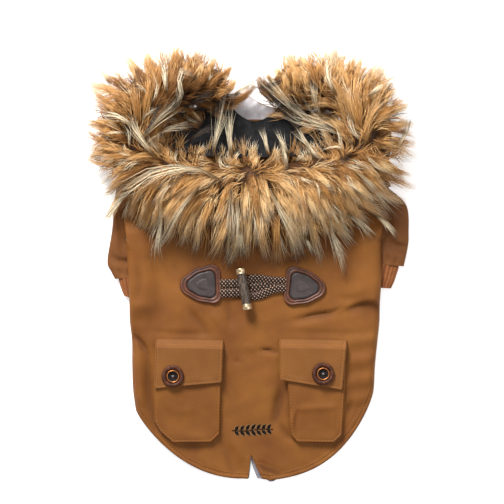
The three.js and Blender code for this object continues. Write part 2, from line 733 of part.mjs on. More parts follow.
function patch(side) {
  const outline = placed(patchOutline(1), PATCHES[side]);
  const high = (x, y, share) => SEAM + PATCH.thick - (share === 1 ? 0.7 : 0);
  return laid(outline, () => SEAM, high, [1, 0.94, 0.4]);
}

function inlay(side) {
  const outline = placed(patchOutline(INLAY.share), PATCHES[side]);
  const low = 2 * SEAM + PATCH.thick;
  const high = (x, y, share) => low + INLAY.thick - (share === 1 ? 0.4 : 0);
  return laid(outline, () => low, high, [1, 0.9, 0.4]);
}

function leftCord() {
  const { from, to, middle, wide, narrow } = LEFT_CORD;
  const outline = [[from, wide], [mix(from, to, 0.5), mix(wide, narrow, 0.6)], [to, narrow]];
  const across = [...outline, ...outline.map(([x, y]) => [x, -y]).reverse()];
  const placedOut = across.map(([x, y]) => [x, middle + y]);
  const high = (x, y, share) => SEAM + CORD.thick - (share === 1 ? 0.7 : 0);
  return laid(placedOut, () => SEAM, high, [1, 0.85, 0.5, 0.2]);
}

// The loop lies on the back and goes round under the toggle.
function rightLoop() {
  const route = new THREE.CatmullRomCurve3(RIGHT_LOOP.map(({ x, y }) => new THREE.Vector3(x, y, 0)));
  const loops = steps(30).map((t) => {
    const centre = route.getPointAt(t);
    const ahead = route.getTangentAt(t);
    const side = new THREE.Vector3(ahead.y, -ahead.x, 0).normalize();
    const base = highest(centre.x, centre.y, CORD.width / 2) + SEAM + 0.1;
    const half = CORD.width / 2;
    const section = [[-half, 0.8], [-half + 0.9, 0], [half - 0.9, 0], [half, 0.8], [half, CORD.thick - 0.8],
      [half - 0.9, CORD.thick], [0.9 - half, CORD.thick], [-half, CORD.thick - 0.8]];
    return section.map(([across, up]) => centre.clone().addScaledVector(side, across).setZ(base + up));
  });
  return loft(loops);
}

const toggleHeight = () => {
  const [x, y] = TOGGLE.middle;
  return highest(x, y, TOGGLE.length / 2) + 2 * SEAM + 0.2 + CORD.thick + TOGGLE.capRadius;
};

// A turned piece along the toggle, between two distances from its middle.
function turned(profile, name, material) {
  const geometry = new THREE.LatheGeometry(profile.map(([r, h]) => new THREE.Vector2(r, h)), 12);
  const mesh = named(name, geometry, material);
  mesh.position.set(...TOGGLE.middle, toggleHeight());
  mesh.rotation.z = (TOGGLE.lean * Math.PI) / 180;
  return mesh;
}

function toggle() {
  const { length, radius, cap, capRadius } = TOGGLE;
  const half = length / 2;
  const inner = half - cap;
  const barrel = [[0, -inner + SEAM], [radius - 0.3, -inner + SEAM], [radius, 1.5 - inner], [radius, inner - 1.5],
    [radius - 0.3, inner - SEAM], [0, inner - SEAM]];
  const end = (sign) => {
    const rows = [[0, inner], [capRadius, inner], [capRadius, half - 0.8], [capRadius - 0.8, half], [0, half]];
    const facing = rows.map(([r, h]) => [r, sign * h]);
    return sign > 0 ? facing : facing.reverse();
  };
  return [
    turned(barrel, "toggle_barrel", MATERIAL.horn),
    turned(end(1), "toggle_cap_top", MATERIAL.brass),
    turned(end(-1), "toggle_cap_bottom", MATERIAL.brass),
  ];
}

// ---- The coat ----
function named(name, geometry, material) {
  const mesh = new THREE.Mesh(geometry, material);
  mesh.name = name;
  return mesh;
}

const coat = new THREE.Group();
coat.add(
  named("back_panel", backPanel(), MATERIAL.twill),
  named("chest_lining", chestLining(), MATERIAL.fleeceGrey),
  named("tail_lining", tailLining(), MATERIAL.fleeceGrey),
  named("hood_shell", dish(-SEAM, CLOTH.hood), MATERIAL.twill),
  named("hood_lining", dish(CLOTH.lining, CLOTH.lining), MATERIAL.fleeceDark),
  named("fur_trim", furTrim(), MATERIAL.fur),
  named("cord_left", leftCord(), MATERIAL.cord),
  named("loop_right", rightLoop(), MATERIAL.cord),
  ...toggle(),
);
for (const side of ["left", "right"]) {
  const disc = named(`button_${side}`, buttonDisc(), MATERIAL.button);
  const boss = named(`button_boss_${side}`, buttonBoss(), MATERIAL.horn);
  for (const piece of [disc, boss]) piece.position.set(...POCKETS[side].button, flapTop(side));
  coat.add(
    named(`belly_panel_${side}`, bellyPanel(side), MATERIAL.twill),
    named(`sleeve_${side}`, flatTube(side, SLEEVES[side], CLOTH.sleeve, PUFF), MATERIAL.twill),
    named(`cuff_${side}`, flatTube(side, CUFFS[side], CLOTH.cuff, TUCKED), MATERIAL.rib),
    named(`pocket_bag_${side}`, pocketBag(side), MATERIAL.twill),
    named(`pocket_flap_${side}`, pocketFlap(side), MATERIAL.twill),
    named(`patch_${side}`, patch(side), MATERIAL.leather),
    named(`patch_inlay_${side}`, inlay(side), MATERIAL.inlay),
    disc,
    boss,
  );
}

// The origin is the middle of the coat's base.
coat.updateMatrixWorld(true);
const box = new THREE.Box3().setFromObject(coat, true);
const middle = box.getCenter(new THREE.Vector3());
coat.position.set(-middle.x, -middle.y, -box.min.z);

export default coat;
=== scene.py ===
import math

import bpy
import mathutils
import numpy as np
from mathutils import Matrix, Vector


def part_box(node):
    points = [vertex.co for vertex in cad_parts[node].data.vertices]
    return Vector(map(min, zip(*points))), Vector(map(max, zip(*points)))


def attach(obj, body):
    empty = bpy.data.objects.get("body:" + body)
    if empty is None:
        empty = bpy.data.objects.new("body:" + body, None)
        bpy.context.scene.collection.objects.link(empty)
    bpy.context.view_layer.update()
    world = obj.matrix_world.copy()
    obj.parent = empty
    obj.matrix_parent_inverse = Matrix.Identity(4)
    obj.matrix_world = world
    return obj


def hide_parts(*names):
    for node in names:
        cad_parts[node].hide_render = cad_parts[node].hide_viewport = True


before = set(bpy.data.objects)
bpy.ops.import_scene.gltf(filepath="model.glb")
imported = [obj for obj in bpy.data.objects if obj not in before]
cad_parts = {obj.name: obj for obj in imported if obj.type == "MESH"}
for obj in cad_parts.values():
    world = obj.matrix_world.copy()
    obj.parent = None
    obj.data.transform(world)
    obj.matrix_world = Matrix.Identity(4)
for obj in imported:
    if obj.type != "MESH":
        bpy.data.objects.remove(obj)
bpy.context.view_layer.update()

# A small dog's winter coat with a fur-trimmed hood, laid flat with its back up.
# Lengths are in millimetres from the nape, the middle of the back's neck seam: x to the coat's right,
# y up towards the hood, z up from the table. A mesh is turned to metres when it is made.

BARREL = (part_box("toggle_barrel")[0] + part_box("toggle_barrel")[1]) * 500  # the toggle's middle
BARREL_X, BARREL_Y = -6.7, -140.0  # the same middle from the nape
NAPE = np.array([BARREL.x - BARREL_X, BARREL.y - BARREL_Y, 0.0])
chance = np.random.default_rng(41)

# ---- the coat's cut ----

SEAM = 0.3  # the gap between pieces sewn together
BODY_HEIGHT = 6.6  # the back's top at its sides, over the belly
CROWN = 0.9  # how much higher it is in the middle
HEM_HEIGHT = 4.2
LEAST_TOP = 4.0  # the back never lies lower than this
ROUND = 7.0  # how far in each side's turn reaches
ARMHOLE_ROUND = 2.4
PRESS = 1.7  # how many times deeper the creases are pressed than their table says
LEFT_CORNER = 242.5  # how far down the back's left side ends, where the hem starts
RIGHT_CORNER = 226.0
MIDDLE_CORNER = 234.0  # about half-way between the two
SLIT_X = -0.8
SLIT_TIP = 279.0  # how far down the slit starts, and how far down it ends
SLIT_FOOT = 303.0
SLIT_LEFT, SLIT_RIGHT = 4.0, 10.3  # how far each side is pulled away at the foot

# down from the nape, the body's left edge, its right edge
SIDES = np.array([
    [0, -62, 62], [16, -76, 76], [34, -97, 98], [52, -112.5, 114], [72, -117, 121],
    [92, -110.5, 115], [101, -104.9, 108.6], [104, -104.8, 107.8], [130, -103.6, 108.2],
    [152, -102.4, 106.8], [168, -102.2, 106.6], [184, -100.4, 105], [205, -100.2, 102.9],
    [226, -99.4, 101.7], [243, -97.1, 99],
])

# A crease runs along its line: depth, then how wide it falls on the left and the right of its run.
# A depth below nought is a ridge.
CREASES = [
    ([(34, -167), (52, -162.5), (66, -160.5), (75, -157)], 1.4, 1.7, 5.5),
    ([(76, -160.5), (83, -157), (92, -154), (100, -154), (108, -158.5)], 1.6, 1.7, 6),
    ([(-98, -178), (-88, -193), (-85.5, -235), (-79, -262)], 1.5, 3.4, 4.5),
    ([(-96, -188), (-94.5, -222), (-92, -256)], -0.8, 4, 4),
    ([(-100, -178), (-94, -184), (-88, -192)], 1.1, 1.6, 4),
    ([(-56, -155), (-46, -167), (-37, -180)], 1.0, 4.5, 4.5),
    ([(-34, -160), (-27, -169), (-21, -178)], -0.8, 4.5, 4),
    ([(-22, -150), (-19, -162), (-17, -175)], 0.9, 4, 4.5),
    ([(5, -191.5), (13, -192), (22, -194)], 1.2, 1.3, 3),
    ([(-6, -189), (0, -191), (4, -192)], -0.6, 3.5, 3.5),
    ([(-16, -200), (-13, -201), (-10, -202.5)], 0.6, 1.2, 2),
    ([(27, -218), (22, -238), (18, -256)], 1.7, 5, 5),
    ([(23, -253), (29, -262), (36, -269)], 1.2, 2, 4),
    ([(-17, -262), (-12, -274), (-7, -287)], -0.8, 4.5, 4),
    ([(-28, -264), (-22, -278), (-17, -293)], 0.9, 5, 5),
    ([(24, -117.5), (36, -114), (50, -109.5)], 1.7, 1.5, 6),
    ([(38, -116), (38, -122)], 0.7, 1.5, 1.5),
    ([(82, -234), (80.5, -246)], 1.0, 3.5, 3.5),
    ([(2, -287.5), (14, -292.5), (26, -295.5)], 1.6, 3.2, 3.2),
    ([(-103, -160), (-101, -172), (-100.5, -177)], -0.9, 5, 5),
    ([(-70, -112), (-64, -122), (-62, -132)], 0.6, 4, 6),
    ([(64, -146), (78, -149), (96, -146)], 0.6, 3, 6),
    ([(-96, -120), (-94, -138), (-97, -154)], 0.7, 4, 6),
    ([(-88, -176), (-62, -178), (-30, -177.5)], 0.5, 2, 5),
    ([(28, -176), (52, -177), (84, -177.5)], 0.5, 2, 5),
]


def mix(start, end, share):
    """A straight blend from start to end."""
    return start + (end - start) * share


def smooth(low, high, value):
    """A soft step from 0 at low to 1 at high, 3t^2 - 2t^3."""
    share = np.clip((value - low) / (high - low), 0, 1)
    return share * share * (3 - 2 * share)


def bell(away, width):
    """A bell of height one, e^-(away/width)^2."""
    return np.exp(-(away / width) ** 2)


def fallen(share):
    """How far a quarter round has fallen at each share of its width in from its edge: all the way at
    the edge and not at all past the round, 1 - (1 - (1 - share)^2)^0.5."""
    return 1 - np.sqrt(1 - (1 - np.clip(share, 0, 1)) ** 2)


def unit(ways):
    """Directions made one long."""
    return ways / np.maximum(np.linalg.norm(ways, axis=-1, keepdims=True), 1e-9)


def through(keys, values, place):
    """The value at each place on a smooth line through the keys: cubic pieces whose slope at a key is
    that of the line between its two neighbours."""
    keys = np.asarray(keys, float)
    values = np.asarray(values, float)
    flat = values.reshape(len(keys), -1)
    where = np.clip(np.asarray(place, float).ravel(), keys[0], keys[-1])
    gap = np.diff(keys)[:, None]
    run = np.diff(flat, axis=0) / gap
    across = (flat[2:] - flat[:-2]) / (keys[2:] - keys[:-2])[:, None]
    slope = np.vstack([run[:1], across, run[-1:]])
    span = np.clip(np.searchsorted(keys, where, side="right") - 1, 0, len(keys) - 2)
    t = (where - keys[span])[:, None] / gap[span]
    start = (1 + 2 * t) * (1 - t) ** 2 * flat[span] + t * (1 - t) ** 2 * gap[span] * slope[span]
    end = t ** 2 * (3 - 2 * t) * flat[span + 1] + t ** 2 * (t - 1) * gap[span] * slope[span + 1]
    return (start + end).reshape(np.shape(place) + values.shape[1:])


def measured(line):
    """How far along a line each of its points is."""
    return np.concatenate([[0], np.cumsum(np.linalg.norm(np.diff(line, axis=0), axis=1))])


def evenly(line, count):
    """Count points evenly spaced by length on the straight runs of a line."""
    length = measured(line)
    places = np.linspace(0, length[-1], count)
    return np.stack([np.interp(places, length, part) for part in line.T], -1)


def curve(line, count):
    """Count points evenly spaced on the smooth line through a few, by its length."""
    line = np.asarray(line, float)
    if len(line) == 2:
        return mix(line[0], line[1], np.linspace(0, 1, count)[:, None])
    keys = measured(line)
    return evenly(through(keys, line, np.linspace(0, keys[-1], 12 * len(line) + count * 2)), count)


def nearest(x, y, line):
    """How far each point is from a bent line, plus on the left of its run, and the share of the line's
    length at the nearest place."""
    line = np.asarray(line, float)
    run = np.diff(line, axis=0)
    length = np.hypot(run[:, 0], run[:, 1])
    from_x = np.asarray(x, float)[..., None] - line[:-1, 0]
    from_y = np.asarray(y, float)[..., None] - line[:-1, 1]
    square = np.maximum(length, 1e-9) ** 2
    along = np.clip((from_x * run[:, 0] + from_y * run[:, 1]) / square, 0, 1)
    gap = np.hypot(from_x - along * run[:, 0], from_y - along * run[:, 1])
    side = np.where(run[:, 0] * from_y - run[:, 1] * from_x < 0, -1.0, 1.0)
    before = np.concatenate([[0], np.cumsum(length)[:-1]])
    share = (before + along * length) / length.sum()
    best = gap.argmin(-1)[..., None]
    return (
        np.take_along_axis(gap * side, best, -1)[..., 0],
        np.take_along_axis(share, best, -1)[..., 0],
    )


def bells(x, y, table, narrow=1.0, ends=0.03):
    """The sum of a table's lines, each a bell across its line, as high as it says and wider on one side
    than the other, that fades in and out along it by the sine to the power 0.6."""
    height = np.zeros(np.shape(x))
    for line, high, left, right in table:
        gap, share = nearest(x, y, curve(line, 9))
        width = np.where(gap > 0, left, right) * narrow
        fade = np.sin(math.pi * np.clip(share, ends, 1 - ends)) ** 0.6
        height += high * bell(gap, width) * fade
    return height


def folds(x, y):
    """The back's creases and ridges, with ripples on the right flank and slow waves."""
    height = -PRESS * bells(x, y, CREASES, narrow=0.85)
    flank = smooth(70, 86, x) * smooth(-246, -236, y) * (1 - smooth(-182, -172, y))
    height += 0.7 * flank * np.cos(2 * math.pi * (y + 185 - 0.12 * (x - 80)) / 16.5)
    height += 0.4 * np.sin(x / 9.5 + 0.6) * np.sin(y / 13.0 + 0.4)
    height += 0.3 * np.sin((x + 0.7 * y) / 7.3) * np.sin((y - 0.4 * x) / 10.1 + 1.1)
    height += 0.15 * np.sin((x - 0.5 * y) / 3.1 + 0.8) * np.sin((y + 0.8 * x) / 4.2)
    return height


def hem_drop(across):
    """How far the hem falls below the line between its corners, from -1 at the left to 1 at the right:
    a drop times (1 - |across|^sweep)^round, with each half's own numbers."""
    drop = mix(65.0, 68.0, smooth(-0.08, 0.12, across))
    sweep = np.where(across < 0, 2.2, 3.0)
    bend = np.where(across < 0, 0.9, 0.8)
    return drop * (1 - np.minimum(np.abs(across), 1) ** sweep) ** bend


HEM_LEFT = float(through(SIDES[:, 0], SIDES[:, 1], LEFT_CORNER))
HEM_RIGHT = float(through(SIDES[:, 0], SIDES[:, 2], RIGHT_CORNER))


def hem_down(x):
    """The hem's distance down from the nape at each x."""
    share = np.clip((x - HEM_LEFT) / (HEM_RIGHT - HEM_LEFT), 0, 1)
    return mix(LEFT_CORNER, RIGHT_CORNER, share) + hem_drop(2 * share - 1)


def hem_gap(x, y):
    """The distance from a point on the back to the hem's line, square to the hem."""
    slope = hem_down(x + 0.5) - hem_down(x - 0.5)
    return (hem_down(x) + y) / np.sqrt(1 + slope ** 2)


def cut_edges(down):
    """The back's left and right edge, straight along the two armholes."""
    left, right = np.moveaxis(through(SIDES[:, 0], SIDES[:, 1:], down), -1, 0)
    left = np.where((down > 52) & (down < 100), mix(-112, -104.6, (down - 52) / 48), left)
    right = np.where((down > 56.5) & (down < 102), mix(113, 107.4, (down - 56.5) / 45.5), right)
    return left, right


def tuck(x, y):
    """The flank's soft tuck, which lifts the cloth near each side by up to 4.6."""
    down = -np.asarray(y, float)
    left, right = cut_edges(np.clip(down, 0, 243))
    start = np.where(x < 0, 96, 97)
    end = np.where(x < 0, 154, 147)
    inside = np.where(x < 0, x - left, right - x)
    lengthwise = smooth(start - 16, start, down) * (1 - smooth(end, end + 16, down))
    return 4.6 * lengthwise * (1 - smooth(13, 29, inside))


def back_rise(x, y, creased=True):
    """The back's height without its tucks: crowned across the body, low along the hem, with the creases,
    and a stitched groove 3.3 in from the hem."""
    left, right = cut_edges(np.clip(-np.asarray(y, float), 0, 243))
    across = np.clip(2 * (x - left) / (right - left) - 1, -1, 1)
    inside = hem_down(x) + y
    rise = BODY_HEIGHT + CROWN * (1 - across ** 2)
    height = mix(HEM_HEIGHT, rise, smooth(0, mix(100, 14, across ** 2), inside))
    if not creased:
        return height
    gap = hem_gap(x, y)
    height += folds(x, y) * smooth(0.5, 7, gap)
    hem = (1 - smooth(4, 6, gap)) * smooth(-1, 0.2, gap)
    height += hem * (0.4 - 0.7 * bell(gap - 3.3, 0.7))
    pucker = np.sin(x / 2.7 + y / 3.6) * np.sin(x / 7.0 - y / 5.0)
    height += 0.45 * pucker * bell(gap - 3.5, 4.5) * smooth(0, 2, gap)
    return height


def back_top(x, y, creased=True):
    """The height of the back's outer face."""
    return back_rise(x, y, creased) + tuck(x, y)


# ---- meshes ----

def grid_faces(rows, columns, around=False, closed=False):
    """Quads between neighbouring points of a grid kept row by row. Around joins each row's last column
    to its first, and closed joins the last row to the first."""
    row = np.arange(rows if closed else rows - 1)[:, None]
    column = np.arange(columns if around else columns - 1)[None]
    next_row = (row + 1) % rows
    next_column = (column + 1) % columns
    corners = [row * columns + column, row * columns + next_column,
               next_row * columns + next_column, next_row * columns + column]
    return np.stack(corners, -1).reshape(-1, 4)


def face_normals(points, faces):
    """Each face's normal times twice its area, the cross product of its two diagonals."""
    a, b, c = points[faces[:, 0]], points[faces[:, 1]], points[faces[:, 2]]
    d = points[faces[:, -1]]
    if faces.shape[1] == 3:
        return np.cross(b - a, c - a)
    return np.cross(c - a, d - b)


def point_normals(points, faces):
    """Each point's unit normal, the sum of its faces' normals."""
    normals = np.zeros_like(points)
    across = face_normals(points, faces)
    for corner in range(faces.shape[1]):
        np.add.at(normals, faces[:, corner], across)
    return unit(normals)


def facing_up(points, faces):
    """The faces of an open sheet, turned over where they look down."""
    return faces if face_normals(points, faces)[:, 2].sum() > 0 else faces[:, ::-1]


def used_only(points, faces):
    """The points that some face uses, and the faces renumbered to them."""
    kept, places = np.unique(faces, return_inverse=True)
    return points[kept], places.reshape(faces.shape)


def thickened(points, faces, thick):
    """A sheet made a closed wall: its points again, moved in along their normals by thick, with a quad
    across every free edge."""
    count = len(points)
    inner = points - point_normals(points, faces) * np.reshape(thick, (-1, 1))
    starts = faces.ravel()
    ends = np.roll(faces, -1, axis=1).ravel()
    free = ~np.isin(starts * count + ends, ends * count + starts)
    start, end = starts[free], ends[free]
    walls = np.stack([end, start, start + count, end + count], -1)
    return np.vstack([points, inner]), np.vstack([faces, faces[:, ::-1] + count, walls])


def repeated(points, faces, centres, along, up, lengths):
    """One small shape placed many times: its x along each given direction times a length, its z up."""
    side = np.cross(up, along)
    moved = (points[None, :, 0:1] * (along * lengths[:, None])[:, None]
             + points[None, :, 1:2] * side[:, None]
             + points[None, :, 2:3] * up[:, None] + centres[:, None])
    shift = np.arange(len(centres))[:, None, None] * len(points)
    return moved.reshape(-1, 3), (faces[None] + shift).reshape(-1, faces.shape[1])


def capped_tube(rings, count):
    """Faces of a tube of rings kept ring by ring, with quads folded to a point at both ends: the first
    and the last point of the list are the two tips."""
    faces = grid_faces(rings, count, around=True) + 1
    turn = np.arange(count)
    start = np.stack([np.zeros(count, int), 1 + (turn + 1) % count, 1 + turn], -1)
    last = 1 + rings * count
    first = last - count
    end = np.stack([np.full(count, last), first + turn, first + (turn + 1) % count], -1)
    return [faces, start, end]


TABLE_GAP = 0.02


def build(name, points, faces, material, slot, replaces=(), uv=None, values=None, sharp=50):
    """A mesh object in the shared frame from points in millimetres from the nape and one or more arrays
    of faces. Whatever would sink into the table is pressed flat on it, and a closed mesh whose volume
    comes out below nought has its faces turned over."""
    points = np.column_stack([points[:, :2], np.maximum(points[:, 2], TABLE_GAP)])
    groups = faces if isinstance(faces, list) else [faces]
    volume = 0.0
    for group in groups:
        volume += (points[group].mean(axis=1) * face_normals(points, group)).sum()
    if volume < 0:
        groups = [group[:, ::-1] for group in groups]
    corners = np.concatenate([group.ravel() for group in groups]).astype(np.int32)
    sizes = np.concatenate([np.full(len(group), group.shape[1]) for group in groups])
    starts = np.concatenate([[0], np.cumsum(sizes)[:-1]]).astype(np.int32)
    mesh = bpy.data.meshes.new(name)
    mesh.vertices.add(len(points))
    mesh.vertices.foreach_set("co", ((points + NAPE) * 0.001).astype(np.float32).ravel())
    mesh.loops.add(len(corners))
    mesh.loops.foreach_set("vertex_index", corners)
    mesh.polygons.add(len(sizes))
    mesh.polygons.foreach_set("loop_start", starts)
    mesh.update(calc_edges=True)
    mesh.validate()
    mesh.shade_smooth()
    if sharp:
        mesh.set_sharp_from_angle(angle=math.radians(sharp))
    if uv is not None:
        layer = mesh.uv_layers.new(name="OFBake")
        layer.data.foreach_set("uv", uv[corners].astype(np.float32).ravel())
    for label, value in (values or {}).items():
        layer = mesh.attributes.new(label, "FLOAT", "POINT")
        layer.data.foreach_set("value", value.astype(np.float32))
    mesh.materials.append(material)
    piece = bpy.data.objects.new(name, mesh)
    bpy.context.scene.collection.objects.link(piece)
    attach(piece, "root")
    if replaces:
        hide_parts(*replaces)
    return piece


# ---- materials ----

def linear(code):
    """An sRGB hex colour as linear values: each channel by the sRGB curve."""
    channels = [int(code[place:place + 2], 16) / 255 for place in (0, 2, 4)]
    return tuple(c / 12.92 if c <= 0.04045 else ((c + 0.055) / 1.055) ** 2.4 for c in channels) + (1.0,)


def node(tree, kind, inputs=(), stops=(), **settings):
    """Adds one shader node: its settings, its inputs from values or from other nodes' outputs, and the
    stops of its colour ramp."""
    made = tree.nodes.new("ShaderNode" + kind)
    for name, value in settings.items():
        setattr(made, name, value)
    for place, value in dict(inputs).items():
        if isinstance(value, bpy.types.NodeSocket):
            tree.links.new(value, made.inputs[place])
        else:
            made.inputs[place].default_value = value
    for count, (place, colour) in enumerate(stops):
        if count < 2:
            stop = made.color_ramp.elements[count]
            stop.position = place
        else:
            stop = made.color_ramp.elements.new(place)
        stop.color = linear(colour)
    return made


def started(name, **shader):
    """A new material: its node tree, its surface shader with the given constant inputs, and the place on
    the object in metres."""
    material = bpy.data.materials.new(name)
    material.use_nodes = True
    tree = material.node_tree
    surface = tree.nodes["Principled BSDF"]
    for place, value in shader.items():
        surface.inputs[place.replace("_", " ")].default_value = value
    place = node(tree, "TexCoord").outputs["Object"]
    return material, tree, surface, place


def mottled(tree, place, light, dark, size, detail=3.0):
    """A colour that drifts between two tones in soft patches of a size in millimetres."""
    cloud = node(tree, "TexNoise", {"Vector": place, "Scale": 1000 / size, "Detail": detail})
    return node(tree, "ValToRGB", {"Fac": cloud.outputs["Fac"]},
                stops=[(0.32, dark), (0.68, light)]).outputs["Color"]


def waves(tree, place, along, pitch, turned=0.0):
    """Ridges of a pitch in millimetres: the sine of the place measured along a direction."""
    step = 2000 * math.pi / pitch
    measure = node(tree, "VectorMath", {0: place, 1: [step * part for part in along]},
                   operation="DOT_PRODUCT")
    moved = node(tree, "Math", {0: measure.outputs["Value"], 1: turned}, operation="ADD")
    return node(tree, "Math", {0: moved.outputs[0]}, operation="SINE").outputs[0]


def grained(tree, surface, height, millimetres, strength):
    """Raises the surface by a height pattern of so many millimetres."""
    bump = node(tree, "Bump", {"Height": height, "Distance": millimetres / 1000, "Strength": strength})
    tree.links.new(bump.outputs["Normal"], surface.inputs["Normal"])


def shaded(tree, surface, colour, factor, tone):
    """The colour darkened or tinted towards a tone where the factor is high."""
    made = node(tree, "Mix", {0: factor, 6: colour, 7: linear(tone)}, data_type="RGBA")
    tree.links.new(made.outputs[2], surface.inputs["Base Color"])
    return made.outputs[2]


def peached_twill(name, light, dark):
    """Peached cotton twill, woven and brushed: fine diagonal ribs, a soft satin sheen on the folds and
    a faint cloudiness in the dye. Painted shade darkens the colour along the creases, by the crease
    value kept on the mesh. The ribs, 0.6 apart, are drawn 1.7 apart to show."""
    material, tree, surface, place = started(name, Roughness=0.66, Specular_IOR_Level=0.22,
                                             Sheen_Weight=0.1, Sheen_Roughness=0.42,
                                             Sheen_Tint=linear("e0a060"))
    colour = mottled(tree, place, light, dark, 30)
    ribs = waves(tree, place, (0.82, 0.57, 0.3), 1.7)
    fibre = node(tree, "TexNoise", {"Vector": place, "Scale": 1400.0, "Detail": 2.0}).outputs["Fac"]
    weave = node(tree, "Math", {0: ribs, 1: 0.3, 2: fibre}, operation="MULTIPLY_ADD").outputs[0]
    grained(tree, surface, weave, 0.22, 0.45)
    thread = node(tree, "MapRange", {"Value": weave, "From Min": 0.9, "From Max": 0.1,
                                     "To Min": 0.0, "To Max": 0.16}).outputs["Result"]
    threaded = shaded(tree, surface, colour, thread, "3d220f")
    # painted shade: the colour is darkened towards deep brown along the back's creases
    pressed_in = node(tree, "Attribute", attribute_name="crease").outputs["Fac"]
    shaded(tree, surface, threaded, pressed_in, "4a260c")
    return material


def soft_lining(name, light, dark):
    """Nylon taffeta lining, woven plain: smooth, a little shiny, with fine crossed threads."""
    material, tree, surface, place = started(name, Roughness=0.46, Sheen_Weight=0.12)
    colour = mottled(tree, place, light, dark, 12)
    tree.links.new(colour, surface.inputs["Base Color"])
    warp = waves(tree, place, (1, 0.1, 0.2), 1.5)
    weft = waves(tree, place, (-0.1, 1, 0.2), 1.5)
    crossed = node(tree, "Math", {0: warp, 1: weft}, operation="MULTIPLY").outputs[0]
    grained(tree, surface, crossed, 0.08, 0.35)
    return material


def fleece(name, light, dark):
    """Polyester fleece, knitted and brushed up: a matt pile of small curls about 2 across."""
    material, tree, surface, place = started(name, Roughness=0.92, Specular_IOR_Level=0.2,
                                             Sheen_Weight=0.25, Sheen_Roughness=0.6,
                                             Sheen_Tint=linear("565659"))
    colour = mottled(tree, place, light, dark, 5, 5.0)
    tree.links.new(colour, surface.inputs["Base Color"])
    curls = node(tree, "TexNoise", {"Vector": place, "Scale": 520.0, "Detail": 4.0,
                                    "Distortion": 0.8}).outputs["Fac"]
    grained(tree, surface, curls, 1.2, 0.8)
    return material


def knit(name, light, dark):
    """Acrylic rib knit: the ribs are in the mesh, and the yarn's loops, 1.4 along each rib, are a
    pattern that alternates in the hollows and on the ribs. Painted shade darkens the hollows between
    the ribs, by the hollow value kept on the mesh."""
    material, tree, surface, place = started(name, Roughness=0.85, Specular_IOR_Level=0.25,
                                             Sheen_Weight=0.3, Sheen_Tint=linear("e0a878"))
    colour = mottled(tree, place, light, dark, 4, 4.0)
    # painted shade: the hollows between the ribs are darkened
    depth = node(tree, "Attribute", attribute_name="hollow").outputs["Fac"]
    shaded(tree, surface, colour, depth, "4a2512")
    loops = waves(tree, place, (0.25, 1, 0.3), 1.4)
    fuzz = node(tree, "TexNoise", {"Vector": place, "Scale": 900.0, "Detail": 3.0}).outputs["Fac"]
    height = node(tree, "Math", {0: loops, 1: 0.25, 2: fuzz}, operation="MULTIPLY_ADD").outputs[0]
    grained(tree, surface, height, 0.35, 0.6)
    return material


def leather(name, light, dark, grain):
    """Split leather with a pigmented face, cut and pressed: a fine pebbled grain, a waxy shine, and
    painted shade, which darkens its grooves and its underside by the hollow value kept on the mesh."""
    material, tree, surface, place = started(name, Roughness=0.5)
    colour = mottled(tree, place, light, dark, 6, 4.0)
    # painted shade: darker in the grooves and underneath
    painted_shade = node(tree, "Attribute", attribute_name="hollow").outputs["Fac"]
    shaded(tree, surface, colour, painted_shade, "1d1210")
    cells = node(tree, "TexVoronoi", {"Vector": place, "Scale": 1000 / grain}).outputs["Distance"]
    grained(tree, surface, cells, 0.18, 0.5)
    return material


def polished_horn(name, light, dark, streak, roughness, shine):
    """Cast polyester made to look like horn, turned and polished: dark with pale streaks, long where
    the grain is stretched, and painted near black in its holes as their shade."""
    material, tree, surface, place = started(name, Roughness=roughness, IOR=1.55,
                                             Specular_IOR_Level=shine)
    drawn = node(tree, "Mapping", {"Vector": place, "Scale": streak}).outputs["Vector"]
    grain = node(tree, "TexNoise", {"Vector": drawn, "Scale": 330.0, "Detail": 4.0,
                                    "Distortion": 0.6}).outputs["Fac"]
    colour = node(tree, "ValToRGB", {"Fac": grain}, stops=[(0.42, dark), (0.66, light)])
    # painted shade: near black in the holes
    depth = node(tree, "Attribute", attribute_name="hollow").outputs["Fac"]
    shaded(tree, surface, colour.outputs["Color"], depth, "050302")
    grained(tree, surface, grain, 0.05, 0.2)
    return material


def warm_metal(name, colour, roughness):
    """Zinc casting with brushed brass or copper plating: warm, with fine turned scratches."""
    material, tree, surface, place = started(name, Metallic=1.0, Roughness=roughness,
                                             Base_Color=linear(colour))
    drawn = node(tree, "Mapping", {"Vector": place, "Scale": (1, 6, 6)}).outputs["Vector"]
    scratch = node(tree, "TexNoise", {"Vector": drawn, "Scale": 700.0, "Detail": 3.0}).outputs["Fac"]
    grained(tree, surface, scratch, 0.03, 0.3)
    return material


def braid(name, light, dark, fleck):
    """Braided polyester cord: black yarns crossed at a slant with a pale fleck where the tracer yarn
    comes to the top. The fleck is a value kept on the mesh."""
    material, tree, surface, place = started(name, Roughness=0.7, Specular_IOR_Level=0.25)
    colour = mottled(tree, place, light, dark, 2.5)
    pale = node(tree, "Attribute", attribute_name="fleck").outputs["Fac"]
    shaded(tree, surface, colour, pale, fleck)
    yarn = node(tree, "TexNoise", {"Vector": place, "Scale": 1600.0, "Detail": 2.0}).outputs["Fac"]
    grained(tree, surface, yarn, 0.15, 0.5)
    return material


def sewing_thread(name, colour):
    """Core-spun polyester thread: a soft shine and a fine twist, 0.7 from turn to turn."""
    material, tree, surface, place = started(name, Roughness=0.75, Specular_IOR_Level=0.1)
    twist = waves(tree, place, (1, 1, 0.4), 0.7)
    shade = node(tree, "MapRange", {"Value": twist, "From Min": -1.0, "From Max": 1.0,
                                    "To Min": 0.0, "To Max": 0.25}).outputs["Result"]
    shaded(tree, surface, linear(colour), shade, "201510")
    grained(tree, surface, twist, 0.06, 0.4)
    return material


